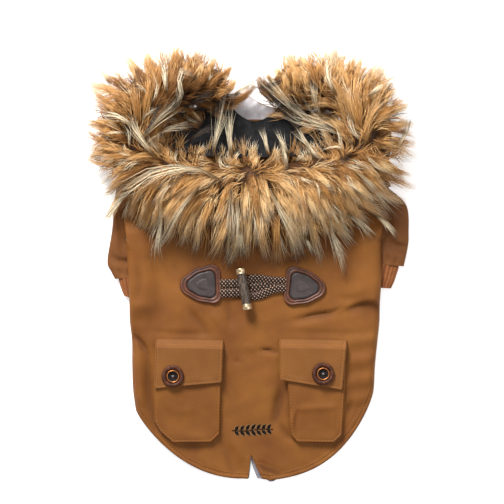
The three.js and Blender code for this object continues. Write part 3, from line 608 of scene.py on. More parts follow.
def pile(name):
    """Modacrylic pile fur, heat-set: each strand's tone is kept across its map and the way from root to
    tip up it. Roots are dark, partly their own colour and partly painted shade between the locks, and
    tips are light, partly their own colour and partly painted highlight; above 0.85 come the guard
    hairs, cream in the middle with a dark end, and above 0.95 the dark ones."""
    material, tree, surface, _ = started(name, Roughness=0.55, Specular_IOR_Level=0.3)
    place = node(tree, "UVMap", uv_map="OFBake").outputs["UV"]
    split = node(tree, "SeparateXYZ", {0: place})
    colour = None
    # painted shade darkens the roots and painted highlight lightens the tips, over the pile's own darker
    # roots and paler tips
    # tones from 0 up: at the root, in the middle, at the tip
    for low, high, stops in (
            (None, None, [(0.0, "2e1a0c"), (0.25, "5f3c1d"), (0.5, "94653a"), (0.74, "c39458"),
                          (0.85, "c29c68"), (0.95, "3a2c22")]),
            (0.05, 0.40, [(0.0, "5e3818"), (0.25, "a26f39"), (0.5, "d8a462"), (0.74, "f8d59c"),
                          (0.85, "fff0cf"), (0.93, "fff0cf"), (0.96, "54493f")]),
            (0.60, 0.92, [(0.0, "8a5a2c"), (0.25, "d6a266"), (0.5, "fbd29c"), (0.74, "fff2d8"),
                          (0.85, "5a4e46"), (0.95, "171312")])):
        tone = node(tree, "ValToRGB", {"Fac": split.outputs["X"]}, stops=stops).outputs["Color"]
        if colour is None:
            colour = tone
            continue
        way = node(tree, "MapRange", {"Value": split.outputs["Y"], "From Min": low,
                                      "From Max": high}, interpolation_type="SMOOTHSTEP")
        colour = node(tree, "Mix", {0: way.outputs["Result"], 6: colour, 7: tone},
                      data_type="RGBA").outputs[2]
    tree.links.new(colour, surface.inputs["Base Color"])
    return material


SHELL = peached_twill("peached_twill", "86531f", "724218")
SHELL_FLAP = peached_twill("peached_twill_flap", "845323", "73461c")
SHELL_SLEEVE = peached_twill("peached_twill_sleeve", "7c4d25", "673c1b")
LINING = soft_lining("taffeta_lining", "b9b5b8", "9d999c")
EDGE_LINING = soft_lining("taffeta_edge", "8d8b92", "6c6a70")
FLEECE = fleece("brushed_fleece", "222224", "101011")
KNIT = knit("rib_knit", "965b32", "804c28")
RIM_LEATHER = leather("saddle_leather", "6b3c26", "4a2716", 1.5)
INLAY_LEATHER = leather("charcoal_leather", "413533", "2c2322", 1.2)
CORD = braid("braided_cord", "170d09", "0a0605", "d2a88c")
HORN = polished_horn("dark_horn", "6f5c4d", "120c0a", (6, 0.5, 6), 0.34, 0.5)
BUTTON_HORN = polished_horn("button_horn", "5f3420", "3d1f12", (1, 1, 1), 0.55, 0.2)
CENTRE_HORN = polished_horn("button_centre", "241109", "0d0604", (1, 1, 1), 0.7, 0.2)
BRASS = warm_metal("brushed_brass", "dcc39c", 0.34)
COPPER = warm_metal("copper_ring", "c9824e", 0.4)
THREAD = sewing_thread("brown_thread", "a26c40")
DARK_THREAD = sewing_thread("dark_thread", "170d09")
PALE_THREAD = sewing_thread("pale_thread", "a88a62")
GREY_THREAD = sewing_thread("grey_thread", "8f8a88")
FUR = pile("pile_fur")


# ---- the body ----

def stitches(lines, pitch, radius, share=0.72):
    """Sewn stitches along lines laid on the cloth: closed spindles, a pitch apart and a share of it
    long, each two five-sided rings between two tips that dip into the cloth."""
    turn = np.arange(5) * 2 * math.pi / 5
    ring = np.stack([np.zeros(5), np.cos(turn), np.sin(turn) * 0.8], -1)
    points = np.vstack([[[-0.5, 0, -0.5]], ring + [-0.3, 0, 0], ring + [0.3, 0, 0], [[0.5, 0, -0.5]]])
    points[:, 1:] *= radius
    faces = capped_tube(2, 5)
    triangles = np.vstack([faces[0][:, [0, 1, 2]], faces[0][:, [0, 2, 3]], faces[1], faces[2]])
    centres, along = [], []
    for line in lines:
        count = max(int(measured(line)[-1] / pitch), 1)
        even = curve(line, 2 * count + 1)
        centres.append(even[1::2])
        along.append(even[2::2] - even[:-1:2])
    centres, along = np.vstack(centres), np.vstack(along)
    long = np.linalg.norm(along, axis=1)
    along = unit(along)
    return repeated(points, triangles, centres, along, sides(along)[1], long * share)


def sides(run):
    """The directions to the left of each run and up from it."""
    side = unit(np.cross([0, 0, 1.0], run))
    return side, np.cross(run, side)


def laid_on(line, count, height, above):
    """A flat line made a smooth one of so many points, lying above a height function."""
    flat = curve(line, count)
    return np.column_stack([flat, height(flat[:, 0], flat[:, 1]) + above])


def split_at(x, column, tip_row):
    """The faces of a grid cut open along one column from a row down: that column is kept twice, and
    above the cut its two copies are the same points."""
    rows, columns = x.shape[0], x.shape[1] + 1
    faces = grid_faces(rows, columns)
    faces = faces[faces[:, 0] % columns != column]
    same = np.arange(rows * columns)
    closed = np.arange(tip_row) * columns + column
    same[closed + 1] = closed
    return same[faces]


def doubled(grid, column):
    """A grid with one column kept twice."""
    return np.concatenate([grid[:, :column + 1], grid[:, column:]], axis=1)


def slit_pull(y, away, on_right, tip, left, right):
    """How far the hem's slit pulls its two sides apart: by left and right at its foot, nothing at its
    tip, and less away from it."""
    opened = np.clip((-y - tip) / (SLIT_FOOT - tip), 0, 1.1) ** 1.15
    pull = np.where(on_right, right * (1 - smooth(0, 24, away)), -left * (1 - smooth(0, 20, away)))
    return pull * opened


def slit_open(x, y, column, cut_from, tip, left, right):
    """A grid cut along one column from a line down and pulled apart there: its x and y with that column
    kept twice, and its faces."""
    faces = split_at(x, column, int(np.argmin(np.abs(y[:, column] + cut_from))))
    x, y = doubled(x, column), doubled(y, column)
    on_right = (np.arange(x.shape[1]) > column)[None]
    away = np.abs(x - x[:, column][:, None])
    return x + slit_pull(y, away, on_right, tip, left, right), y, faces


def make_sheet(name, replaced, x, y, z, thick, material, slot="shell_twill"):
    """A cloth from a grid of its upper face, given its thickness downwards."""
    points = np.stack([x, y, z], -1).reshape(-1, 3)
    faces = facing_up(points, grid_faces(*x.shape))
    piece = build(name, *thickened(points, faces, thick), material, slot, replaces=[replaced])


def make_back():
    """The back: rows from the neck to the hem and columns from side to side. Its edges turn down over a
    quarter ellipse, tight at the armholes, the hem is rolled, and the slit is cut open."""
    turned, level = 7, 118  # how many columns each side's turn has, and the rest
    rows = np.concatenate([np.linspace(0, 0.945, 158)[:-1], np.linspace(0.945, 1, 32)])[:, None]
    turn = np.linspace(0, math.pi / 2, turned + 1)[:-1]
    bend = np.concatenate([np.sin(turn), np.ones(level), np.sin(turn[::-1])])
    left = cut_edges(LEFT_CORNER * rows)[0]
    right = cut_edges(RIGHT_CORNER * rows)[1]
    down = rows * MIDDLE_CORNER
    armhole = smooth(46, 54, down) * (1 - smooth(98, 106, down))
    round_by = mix(ROUND, ARMHOLE_ROUND, armhole)
    x = np.concatenate([
        left + round_by * (1 - np.cos(turn)),
        mix(left + round_by, right - round_by, np.linspace(0, 1, level)[None]),
        right - round_by * (1 - np.cos(turn[::-1])),
    ], axis=1)
    across = (x - left) / (right - left)
    y = -mix(LEFT_CORNER, RIGHT_CORNER, across) * rows - hem_drop(2 * across - 1) * rows ** 2
    top = np.maximum(back_top(x, y), LEAST_TOP)
    bottom = mix(SEAM + tuck(x, y), top - 2.6, armhole)
    z = mix(bottom, top, bend)
    z -= 1.3 * fallen(hem_gap(x, y) / 1.4)  # the hem's edge is rolled over 1.4 and 1.3 down
    column = turned + int(np.argmin(np.abs(x[-1, turned:turned + level] - SLIT_X)))
    z = doubled(z, column)
    x, y, faces = slit_open(x, y, column, SLIT_TIP, SLIT_TIP, SLIT_LEFT, SLIT_RIGHT)
    points, faces = used_only(np.stack([x, y, z], -1).reshape(-1, 3), faces)
    # painted shade along the creases, 0 to 0.6, which the twill's colour reads
    crease = np.clip(-folds(points[:, 0], points[:, 1]) / 4.0 - 0.08, 0, 0.6)
    piece = build("back_cloth", *thickened(points, facing_up(points, faces), 1.7), SHELL, "shell_twill",
                  replaces=["back_panel"], values={"crease": np.tile(crease, 2)})


def make_tail_lining():
    """The tail end's lining, 2.8 under the back, which shows as a lip along the slit and the hem."""
    rows = np.linspace(0, 1, 44)[:, None]
    share = np.linspace(0, 1, 80)[None]
    x = mix(HEM_LEFT + 8, HEM_RIGHT - 8, share) * np.ones_like(rows)
    end = -hem_down(x) + 0.5 - 1.6 * smooth(9, 12, x) * (1 - smooth(17, 22, x))
    start = -mix(194.0, -end - 12, (2 * share - 1) ** 2)
    y = mix(start, end, rows)
    column = int(np.argmin(np.abs(x[0] - SLIT_X)))
    x = x + (SLIT_X - x[0, column]) * (1 - smooth(0, 20, np.abs(x - SLIT_X)))
    x, y, faces = slit_open(x, y, column, 285.5, 284.5, 2.2, 6.4)
    z = np.maximum(back_top(x, y), LEAST_TOP) - 2.8
    points, faces = used_only(np.stack([x, y, z], -1).reshape(-1, 3), faces)
    piece = build("tail_lining_cloth", *thickened(points, facing_up(points, faces), 0.9), EDGE_LINING,
                  "grey_lining", replaces=["tail_lining"])


NECK = np.array([[-66, -6], [-40, 15], [-10, 22], [9, 13], [30, 7], [66, -6]], float)
BELLY_HEM = 188.0
BELLY_SIDE_END = {"left": 219.6, "right": 205.7}
BELLY_INSET = 3.9
HALF_LAP = 9.0


def make_belly(side):
    """One belly half: from the chest's neck line to its hem, which runs further down towards the side by
    the square of the way out, flat on the table with slight ripples, the left half lifted over the
    right one's lap."""
    rows = np.linspace(0, 1, 72)[:, None]
    share = np.linspace(0, 1, 46)[None]
    side_end = BELLY_SIDE_END[side]
    left, right = cut_edges(side_end * rows)
    edge = 0.96 * (left + BELLY_INSET if side == "left" else right - BELLY_INSET)
    x = mix(edge, HALF_LAP if side == "left" else -HALF_LAP, share)
    x = np.where(rows < 0.12, mix(np.clip(x, -64, 64), x, smooth(0, 0.12, rows)), x)
    start = through(NECK[:, 0], NECK[:, 1], x[:1])
    y = mix(start, -mix(BELLY_HEM, side_end, np.clip(x / edge, 0, 1) ** 2), rows)
    z = 2.05 + 0.25 * np.sin(x / 7.0 + y / 17.0) * np.sin(y / 11.0)
    z -= 0.5 * fallen(np.abs(x - edge) / 5)
    if side == "left":
        z += 2.8 * smooth(-17, -9.5, x)
    make_sheet("belly_%s_cloth" % side, "belly_panel_" + side, x, y, z, 1.6, SHELL)


def make_chest_lining():
    """The chest's lining inside the neck: soft crinkles that run down from the neck line."""
    rows = np.linspace(0, 1, 34)[:, None]
    x = mix(-26.0, 24.5, np.linspace(0, 1, 80))[None] * np.ones_like(rows)
    start = through(NECK[:, 0], NECK[:, 1], x) - 0.6
    y = mix(start, -5.0, rows)
    z = 6.4 + 0.55 * np.sin(x / 2.3 + 1.6 * np.sin(y / 5.0)) * np.sin(math.pi * rows) ** 0.5
    z += 0.35 * np.sin(x / 1.3 - y / 2.6) * np.sin(y / 3.1 + x / 9.0) + 1.0 * np.sin(math.pi * rows)
    make_sheet("chest_lining_cloth", "chest_lining", x, y, z, 1.0, LINING, "grey_lining")


# ---- the hood ----

RING_MIDDLE = np.array([-1.7, -11.5])
RING_HALF = np.array([101.0, 44.5])
HOLLOW_HALF = np.array([72.0, 21.0])
SQUARE = 2.8  # the power of the squared ellipse
HOOD_SWEEP = 20.0, 340.0  # where the hood's edges meet the throat, in degrees round the ring
HOOD_LOW, THROAT_LOW, HOOD_LIP = 9.9, 8.6, 15.0  # its height at the nape, in the throat, at its edge


def squared(turn, half):
    """The point of a squared ellipse about the ring's middle at a turn from the throat, in degrees."""
    angle = np.radians(90 + np.asarray(turn, float))
    way = np.stack([np.cos(angle), np.sin(angle)], -1)
    return RING_MIDDLE + half * np.sign(way) * np.abs(way) ** (2 / SQUARE)


def make_hood(name, replaced, material, slot, above, thick, rough):
    """The open hood: a dish swept from the nape's line out to the hollow's edge, which it climbs by the
    cube of the way, with a fine unevenness."""
    sweep = np.linspace(0, 1, 110)[:, None]
    way = np.linspace(0, 1, 26)[None]
    throat = np.clip((np.abs(2 * sweep - 1) - 0.7) / 0.3, 0, 1)
    near = np.clip((sweep - 0.12) / 0.76, 0, 1)
    far = squared(mix(*HOOD_SWEEP, sweep[:, 0]), HOLLOW_HALF - 0.9)
    x = mix(mix(-19.0, 24.0, near), far[:, 0:1], way)
    y = mix(mix(-1.5, 13.0, (2 * near - 1) ** 2), far[:, 1:2], way)
    z = mix(mix(HOOD_LOW, THROAT_LOW, throat), HOOD_LIP, way ** 3) + above
    z = z + rough * np.sin(x / 1.1 + 2 * np.sin(y / 2.1)) * np.sin(y / 0.9 + 1.5 * np.sin(x / 1.7))
    z = z + 2.2 * rough * np.sin(x / 6.3 + 0.5) * np.sin(y / 4.9 + x / 11.0) * way
    make_sheet(name, replaced, x, y, z, thick, material, slot)


# ---- sleeves and cuffs ----

# outer edge, inner edge, how far the row is tucked under the flank
SLEEVES = {"left": np.array([
    [-112.4, -52.3, -105, -99.6, 0], [-115.2, -70, -106, -102.5, 1], [-116.8, -92, -100.5, -107, 1],
    [-120.8, -118, -93, -118, 1], [-117.4, -127, -92.5, -126, 1], [-114.4, -133, -92.5, -131.5, 1],
]), "right": np.array([
    [113.2, -56.2, 105.5, -102.2, 0], [129, -71.7, 106.6, -104.6, 1], [130.8, -95.8, 103, -108, 1],
    [130, -107, 96.5, -113.5, 1], [126.7, -122.5, 95.5, -119.5, 1],
])}
CUFFS = {"left": np.array([
    [-111.7, -131.4, -93.5, -130.4, 1], [-109.6, -140, -93.6, -141.5, 1], [-106.7, -147, -94, -151.5, 1],
]), "right": np.array([
    [123.2, -120.9, 97, -118.4, 1], [118.6, -135, 96, -131, 1], [115.6, -141, 95.5, -139.5, 1],
])}
RIBS = {"left": 15, "right": 20}
SLEEVE_HEIGHT = 6.4, 5.2  # at the armhole and at the end
CUFF_HEIGHT = 4.4, 4.0
TUCKED_HEIGHT = 4.0  # under the flank
# lines like the back's creases
SLEEVE_CREASES = [
    ([(-112, -56), (-110, -80), (-106, -98)], 0.8, 2, 4),
    ([(-109, -117.5), (-100, -119), (-94, -121)], 1.3, 2, 4),
    ([(-119, -112), (-112, -117), (-106, -118)], 0.9, 2, 4),
    ([(-117, -76), (-114, -96), (-115, -112)], -0.6, 3, 4),
    ([(-112, -124), (-108, -131)], 0.8, 1.6, 2),
    ([(-103, -124), (-101, -131)], 0.8, 1.6, 2),
    ([(115, -62), (113, -82), (110, -100)], 0.8, 4, 2),
    ([(112, -97), (120, -104), (131, -107)], 1.5, 2, 4.5),
    ([(113, -103), (122, -111), (130, -113)], 1.0, 2, 3.5),
    ([(116, -88), (118, -98), (114, -108)], 0.9, 3, 3),
    ([(122, -72), (124, -86), (127, -96)], -0.6, 4, 4),
    ([(107, -112), (106, -120)], 0.8, 1.5, 2),
    ([(114, -113), (113, -121)], 0.8, 1.5, 2),
    ([(121, -114), (120, -122)], 0.8, 1.5, 2),
]


def tube_grid(rows, count, around, heights):
    """A flattened tube swept down its rows: round each row it runs over the top and back below, its
    half height being (1 - |across|^4)^0.5 of the whole, and it lies low where the flank covers it."""
    keys = np.arange(len(rows), dtype=float)
    shape = through(keys, rows, np.linspace(0, keys[-1], count))
    turn = np.linspace(0, 2 * math.pi, around, endpoint=False)[None]
    share = (1 - np.cos(turn)) / 2
    x = mix(shape[:, 2:3], shape[:, 0:1], share)
    y = mix(shape[:, 3:4], shape[:, 1:2], share)
    left, right = cut_edges(np.clip(-y, 0, 243))
    outside = np.where(x < 0, left - x, x - right)
    full = mix(*heights, np.linspace(0, 1, count)[:, None] ** 3)
    height = mix(full, TUCKED_HEIGHT, np.clip(shape[:, 4:5], 0, 1) * (1 - smooth(1.5, 9, outside)))
    body = np.sqrt(1 - np.abs(2 * share - 1) ** 4) * np.sign(np.sin(turn) + 1e-12)
    return x, y, height / 2 + body * height / 2, height, turn


def make_tube(name, replaced, x, y, z, thick, material, slot, values=None):
    """A flattened tube from its grid, held just off the table, given its thickness inwards, its faces
    turned to look away from its mean height."""
    points = np.stack([x, y, np.maximum(z, 0.05)], -1).reshape(-1, 3)
    faces = grid_faces(*x.shape, around=True)
    above = points[faces[:, 0], 2] - points[:, 2].mean()
    faces = faces if (face_normals(points, faces)[:, 2] * above).sum() > 0 else faces[:, ::-1]
    piece = build(name, *thickened(points, faces, thick), material, slot, replaces=[replaced],
                  values=values)


def make_sleeve(side):
    """A sleeve: its flattened tube with creases pressed into the upper side, less near its edges."""
    rows = SLEEVES[side]
    x, y, z, height, turn = tube_grid(rows, 60, 72, SLEEVE_HEIGHT)
    crease = -1.5 * bells(x, y, SLEEVE_CREASES, ends=0.05)
    crease += 0.25 * np.sin(x / 3.7 + y / 9.0) * np.sin(y / 6.1)
    pressed_in = np.where(np.sin(turn) > 0, 1.0, -0.3) * np.clip(np.abs(2 * z / height - 1), 0, 1)
    make_tube("sleeve_%s_cloth" % side, "sleeve_" + side, x, y, z + crease * pressed_in, 1.1,
              SHELL_SLEEVE, "shell_twill")


def make_cuff(side):
    """A rib-knit cuff: its flattened tube with rounded ribs along the arm, drawn in at its seam and
    rolled at its end."""
    rows, ribs = CUFFS[side], RIBS[side]
    x, y, z, height, turn = tube_grid(rows, 20, 8 * ribs, CUFF_HEIGHT)
    wave = np.cos(ribs * turn) * np.ones_like(x)
    ridge = np.sign(wave) * np.abs(wave) ** 0.7
    along = np.linspace(0, 1, len(x))[:, None]
    roll = 1 + 0.03 * bell(along - 0.9, 0.06) - 0.05 * (1 - smooth(0, 0.12, along))
    grow = roll * (1 + 0.018 * ridge)
    x, y = (mix(grid.mean(axis=1, keepdims=True), grid, grow) for grid in (x, y))
    z = height / 2 + (z - height / 2) * (roll * 0.9)
    z += 0.32 * ridge * np.sin(turn) * np.abs(np.sin(turn))
    # painted shade: up to 0.45 in the hollows between the ribs
    make_tube("cuff_%s_knit" % side, "cuff_" + side, x, y, z, 0.9, KNIT, "rib_knit",
              {"hollow": np.tile(0.45 * (0.5 - 0.5 * ridge).ravel(), 2)})


# ---- pockets ----

POCKETS = {
    "left": {
        "flap": [(-80.4, -182.6), (-23.6, -184), (-25, -219.4), (-81.6, -224.4)],
        "bag": {
            "top": [(-80.6, -190), (-24.6, -190)],
            "bottom": [(-81.5, -252), (-77, -260), (-66.5, -269.6), (-33.5, -269.2), (-26.4, -262)],
            "left": [(-80.6, -190), (-82, -218), (-81.5, -252)],
            "right": [(-24.6, -190), (-25.8, -226), (-26.4, -262)],
        },
        "button": (-65.8, -213.8),
    },
    "right": {
        "flap": [(22.6, -182.8), (79.2, -184), (75.2, -225.6), (23, -217)],
        "bag": {
            "top": [(25.4, -190), (78.4, -190)],
            "bottom": [(31.0, -256), (32.5, -264), (37, -269), (68.5, -269.6), (75.2, -263)],
            "left": [(26.4, -190), (29.4, -222), (31.0, -256)],
            "right": [(78.4, -190), (77.6, -226), (75.2, -263)],
        },
        "button": (59.2, -211.7),
    },
}
FLAP_RISE = 5.2
BAG_RISE = 4.4
SEAM_STITCH, EDGE_STITCH = 4.6, 2.2  # how far in the flap's stitching runs from its seam and its edges
# Waves of the bags: line, height, then how wide it falls on the left and the right of its run.
BAG_WAVES = [
    ([(35, -243), (33, -252), (31.5, -262)], 0.9, 2.4, 2.4),
    ([(39, -240), (37, -252), (38, -266)], -0.8, 2.2, 2.2),
    ([(70, -232), (71.5, -246), (70, -258)], -0.5, 2.0, 2.0),
    ([(-74, -238), (-60, -243), (-44, -241)], 0.5, 4.0, 4.0),
    ([(-78, -232), (-72, -246), (-70, -258)], -0.6, 3.0, 3.0),
]


def bent(line, count):
    """Points evenly along the straight runs of a bent line, its corners eased by taking each point as
    the mean of three."""
    even = evenly(np.asarray(line, float), count)
    even[1:-1] = (even[:-2] + even[1:-1] + even[2:]) / 3
    return even


def patch_between(top, bottom, left, right, rows, columns):
    """A flat cloth filled in between its four edges: the blend of top and bottom plus the blend of left
    and right, less the blend of the four corners."""
    up, low = curve(top, columns)[None], bent(bottom, columns)[None]
    near, far = curve(left, rows)[:, None], curve(right, rows)[:, None]
    v = np.linspace(0, 1, rows)[:, None, None]
    u = np.linspace(0, 1, columns)[None, :, None]
    corners = mix(mix(up[:, :1], up[:, -1:], u), mix(low[:, :1], low[:, -1:], u), v)
    flat = mix(up, low, v) + mix(near, far, u) - corners
    return flat[..., 0], flat[..., 1]


def bag_height(x, y, outline):
    """A pocket bag above the back: a rounded rise at its edges, a raised stitched edge and a slack
    middle with soft waves."""
    gap = np.abs(nearest(x, y, outline)[0])
    edge = 0.3 * bell(gap - 1.1, 0.6) - 0.35 * bell(gap - 2.1, 0.5)
    slack = -0.7 * smooth(4, 18, gap)
    wave = 0.8 * bell(y + 243 - 0.05 * x, 3.0) * smooth(3, 12, gap) * (x > 0)
    wave += bells(x, y, BAG_WAVES)
    wave += 0.35 * np.sin(x / 6.2 + 0.5 * np.sin(y / 9)) * smooth(3, 12, gap)
    wave += 0.3 * np.sin(y / 7.1 + x / 15.0) * smooth(3, 10, gap)
    return BAG_RISE * (1 - fallen(gap / 1.5)) + edge + slack + wave + 0.1


def flap_height(x, y, corners):
    """A pocket flap above the back: it climbs from its seam at the top over the bag, its free edges
    are rounded over, and a stitched groove runs 4.6 under its seam and 2.2 inside its free edges."""
    top = np.abs(nearest(x, y, corners[:2])[0])
    free = np.abs(nearest(x, y, corners[1:] + corners[:1])[0])
    climb = 1.9 + (FLAP_RISE - 0.3) * smooth(0.3, 7.5, top)
    rounded = 0.8 * fallen(free / 0.9)
    seam = 0.5 * bell(top - SEAM_STITCH, 0.6) * smooth(1, 3, free)
    edge = 0.28 * bell(free - EDGE_STITCH, 0.55) - 0.2 * bell(free - 1.0, 0.7)
    head = 0.35 * bell(top - 1.9, 1.4)
    wave = 0.42 * np.sin(x / 8.3 + 0.4) * np.sin(y / 6.7 + x / 21.0)
    wave += 0.25 * np.sin(x / 3.9 + y / 9.0)
    return climb - rounded - seam - edge + head + wave * smooth(1, 7, np.minimum(top, free))


def make_pocket(side):
    """One pocket: its bag and its flap over it, with their stitching."""
    pattern = POCKETS[side]
    bag = pattern["bag"]
    outline = np.vstack([curve(bag["top"], 30), curve(bag["right"], 30),
                         bent(bag["bottom"], 60)[::-1], curve(bag["left"], 30)[::-1]])
    x, y = patch_between(bag["top"], bag["bottom"], bag["left"], bag["right"], 84, 66)
    on_bag = lambda a, b: back_top(a, b, creased=False) + bag_height(a, b, outline)
    bag_name = "pocket_bag_" + side
    make_sheet(bag_name + "_cloth", bag_name, x, y, on_bag(x, y), 1.1, SHELL)
    corners = pattern["flap"]
    soft = [corners[0], mix(np.array(corners[0]), corners[1], 0.5) + [0, 0.4], corners[1]]
    x, y = patch_between(soft, [corners[3], corners[2]], [corners[0], corners[3]],
                         [corners[1], corners[2]], 50, 72)
    x, y = rounded_corners(x, y, 2.6)
    on_flap = lambda a, b: flap_top(a, b, corners)
    flap_name = "pocket_flap_" + side
    make_sheet(flap_name + "_cloth", flap_name, x, y, on_flap(x, y), 1.4, SHELL_FLAP)
    inner = inset(corners, EDGE_STITCH)
    low = inset(corners, SEAM_STITCH)
    flap_runs = [([low[0] + [-2.4, 0], low[1] + [2.4, 0]], 40), (inner[[1, 2]], 30),
                 (inner[[2, 3]], 40), (inner[[3, 0]], 30)]
    bag_runs = [(bent(bag["bottom"], 60), 60), (curve(bag["left"], 40)[16:], 30),
                (curve(bag["right"], 40)[16:], 30)]
    lines = [laid_on(run, count, on_flap, 0.05) for run, count in flap_runs]
    lines += [laid_on(towards(run, outline, 2.0), count, on_bag, 0.05) for run, count in bag_runs]
    points, faces = stitches(lines, 2.6, 0.28)
    build("pocket_stitches_" + side, points, faces, THREAD, "shell_twill")


def flap_top(x, y, corners):
    """The height of a pocket flap's outer face."""
    return back_top(x, y, creased=False) + flap_height(x, y, corners)


def inset(corners, by):
    """A four-cornered outline drawn in from each of its corners towards the middle by a distance."""
    corners = np.array(corners, float)
    inward = corners.mean(axis=0) - corners
    return corners + by * np.sign(inward)


def towards(line, outline, by):
    """A line moved in towards the middle of an outline by a distance, square to its own run."""
    run = np.gradient(line, axis=0)
    normal = unit(np.stack([-run[:, 1], run[:, 0]], -1))
    inward = outline.mean(axis=0) - line
    return line + by * normal * np.sign((normal * inward).sum(axis=1, keepdims=True))


def rounded_corners(x, y, radius):
    """Draws the two lower corners of a flat cloth's grid in to a round: each point near a corner is
    moved towards the middle by how far the round cuts the corner."""
    for place in (0, -1):
        corner = np.array([x[-1, place], y[-1, place]])
        middle = np.array([x.mean(), y.mean()])
        away = np.hypot(x - corner[0], y - corner[1])
        pull = 0.42 * radius * np.clip(1 - away / (radius * 1.5), 0, 1) ** 1.2
        way = unit(middle - corner)
        x, y = x + way[0] * pull, y + way[1] * pull
    return x, y


def pressed(outline, centre, shares, heights, base=None):
    """A solid pressed to one outline: ring after ring, the outline is drawn in to a share of its
    distance from the centre and set at a height, from a tip on top round to a tip below."""
    flat = centre + (outline - centre) * np.reshape(shares[1:-1], (-1, 1, 1))
    level = np.reshape(heights[1:-1], (-1, 1)) * np.ones(len(outline))
    if base is not None:
        level = level + base(flat[..., 0], flat[..., 1])
    rings = np.concatenate([flat, level[..., None]], -1).reshape(-1, 3)
    under = 0.0 if base is None else float(base(np.array(centre[0]), np.array(centre[1])))
    tips = [np.append(centre, heights[0] + under), np.append(centre, heights[-1] + under)]
    points = np.vstack([tips[:1], rings, tips[1:]])
    return points, capped_tube(len(shares) - 2, len(outline))


def circle(centre, radius, count):
    """Points evenly round a flat circle, or round several, one for each radius in a column."""
    turn = np.arange(count) * 2 * math.pi / count
    return centre + np.stack([radius * np.cos(turn), radius * np.sin(turn)], -1)


def ring_round(name, place, radius, height, count, material, **more):
    """A closed ring swept round an upright axis: its section is given as columns of radius and height,
    which may also change from turn to turn."""
    flat = circle(place, radius, count)
    points = np.concatenate([flat, (height + np.zeros(count))[..., None]], -1)
    build(name, points.reshape(-1, 3), grid_faces(*flat.shape[:2], around=True, closed=True), material,
          "button_brown", **more)


# share of the way out, height
BUTTON_RIM = np.array([
    [0.60, 0.5], [0.66, 1.3], [0.72, 2.2], [0.80, 2.65], [0.87, 2.7], [0.94, 2.3], [0.99, 1.5],
    [1.0, 0.9], [0.97, 0.2], [0.70, 0.0], [0.62, 0.1],
])
RIM_RADIUS = 9.3
RIM_REACH = 10.9  # what the rim's table counts its shares in
COPPER_RADIUS = 4.75
CENTRE_RADIUS = 4.6
HOLE_PLACE = 1.35  # each hole's distance from the middle, across and up


def make_button(side):
    """A four-hole button: a corded rim swept round, a thin copper ring, and a dished middle whose holes
    are dents under a cross of thread, painted near black as shade."""
    corners = POCKETS[side]["flap"]
    place = np.array(POCKETS[side]["button"])
    around = circle(place, 8.6, 64)
    base = float(flap_top(around[:, 0], around[:, 1], corners).max()) - 0.15
    turns = np.arange(160) * 2 * math.pi / 160
    steps = np.arange(len(BUTTON_RIM))
    out, high = through(steps, BUTTON_RIM, np.linspace(0, steps[-1], 20)).T[..., None]
    cord = 0.16 * np.cos(32 * turns + 5 * high) * smooth(0.5, 2.2, high)
    ring_round("button_rim_" + side, place, RIM_RADIUS - (1 - out) * RIM_REACH + cord, base + high + cord,
               160, BUTTON_HORN, replaces=["button_" + side])
    ring = np.linspace(0, 2 * math.pi, 10, endpoint=False)[:, None]
    ring_round("button_ring_" + side, place, COPPER_RADIUS + 0.45 * np.cos(ring),
               base + 1.95 + 0.48 * np.sin(ring), 72, COPPER)
    out = np.linspace(0.04, 1, 26)
    dish = 0.95 + 0.35 * out ** 2 + 0.25 * smooth(0.82, 0.92, out) - 0.5 * smooth(0.95, 1, out)
    shares = np.concatenate([[0], out, [1.0, 0.9, 0.5, 0]])
    heights = base + np.concatenate([[0.95], dish, [0.45, 0.3, 0.3, 0.3]])
    points, faces = pressed(circle(place, CENTRE_RADIUS, 72), place, shares, heights)
    holes = place + HOLE_PLACE * np.array([[1, 1], [1, -1], [-1, 1], [-1, -1]])
    gap = np.linalg.norm(points[:, None, :2] - holes[None], axis=2).min(axis=1)
    # painted shade: the holes' dents, which the centre's colour turns near black
    hole = (1 - smooth(0.5, 0.95, gap)) * (points[:, 2] > base + 0.6)
    points[:, 2] -= 0.55 * hole
    build("button_centre_" + side, points, faces, CENTRE_HORN, "horn",
          replaces=["button_boss_" + side], values={"hollow": hole})
    cross = [np.column_stack([np.linspace(start, end, 5), np.full(5, base + 1.4)])
             for start, end in ((holes[0], holes[3]), (holes[1], holes[2]))]
    points, faces = stitches(cross, 9.0, 0.36, share=0.8)
    build("button_thread_" + side, points, faces, GREY_THREAD, "horn", sharp=0)


# ---- the toggle and its tabs ----

# each tab's tip, and the degrees it is turned by
PATCHES = {"left": ((-60.2, -138.6), 183), "right": ((61.6, -141.4), -6)}

# share of the outline, height, depth in shade
TAB = np.array([
    [0.0, 1.6, 0.2], [0.3, 1.6, 0.2], [0.60, 1.6, 0.3], [0.655, 1.35, 1.0], [0.69, 1.3, 1.0],
    [0.73, 1.95, 0.3], [0.77, 2.35, 0], [0.81, 2.3, 0.05], [0.845, 1.9, 0.5], [0.87, 1.8, 0.6],
    [0.90, 2.15, 0.1], [0.935, 2.35, 0], [0.965, 2.15, 0.05], [0.99, 1.6, 0.3], [1.0, 1.0, 0.6],
    [0.99, 0.25, 0.9], [0.9, 0.1, 0.9], [0.5, 0.1, 0.9], [0.0, 0.1, 0.9],
])
INLAY = np.array([
    [0.0, 1.25, 0], [0.18, 1.25, 0], [0.36, 1.22, 0.05], [0.43, 1.02, 0.45], [0.47, 0.98, 0.4],
    [0.6, 1.0, 0.1], [0.78, 1.0, 0.0], [0.86, 1.05, 0], [0.91, 0.95, 0.2], [0.94, 0.82, 0.6],
    [0.97, 0.75, 0.2], [1.0, 0.45, 0.5], [0.98, 0.1, 0.8], [0.5, 0.05, 0.8], [0.0, 0.05, 0.8],
])


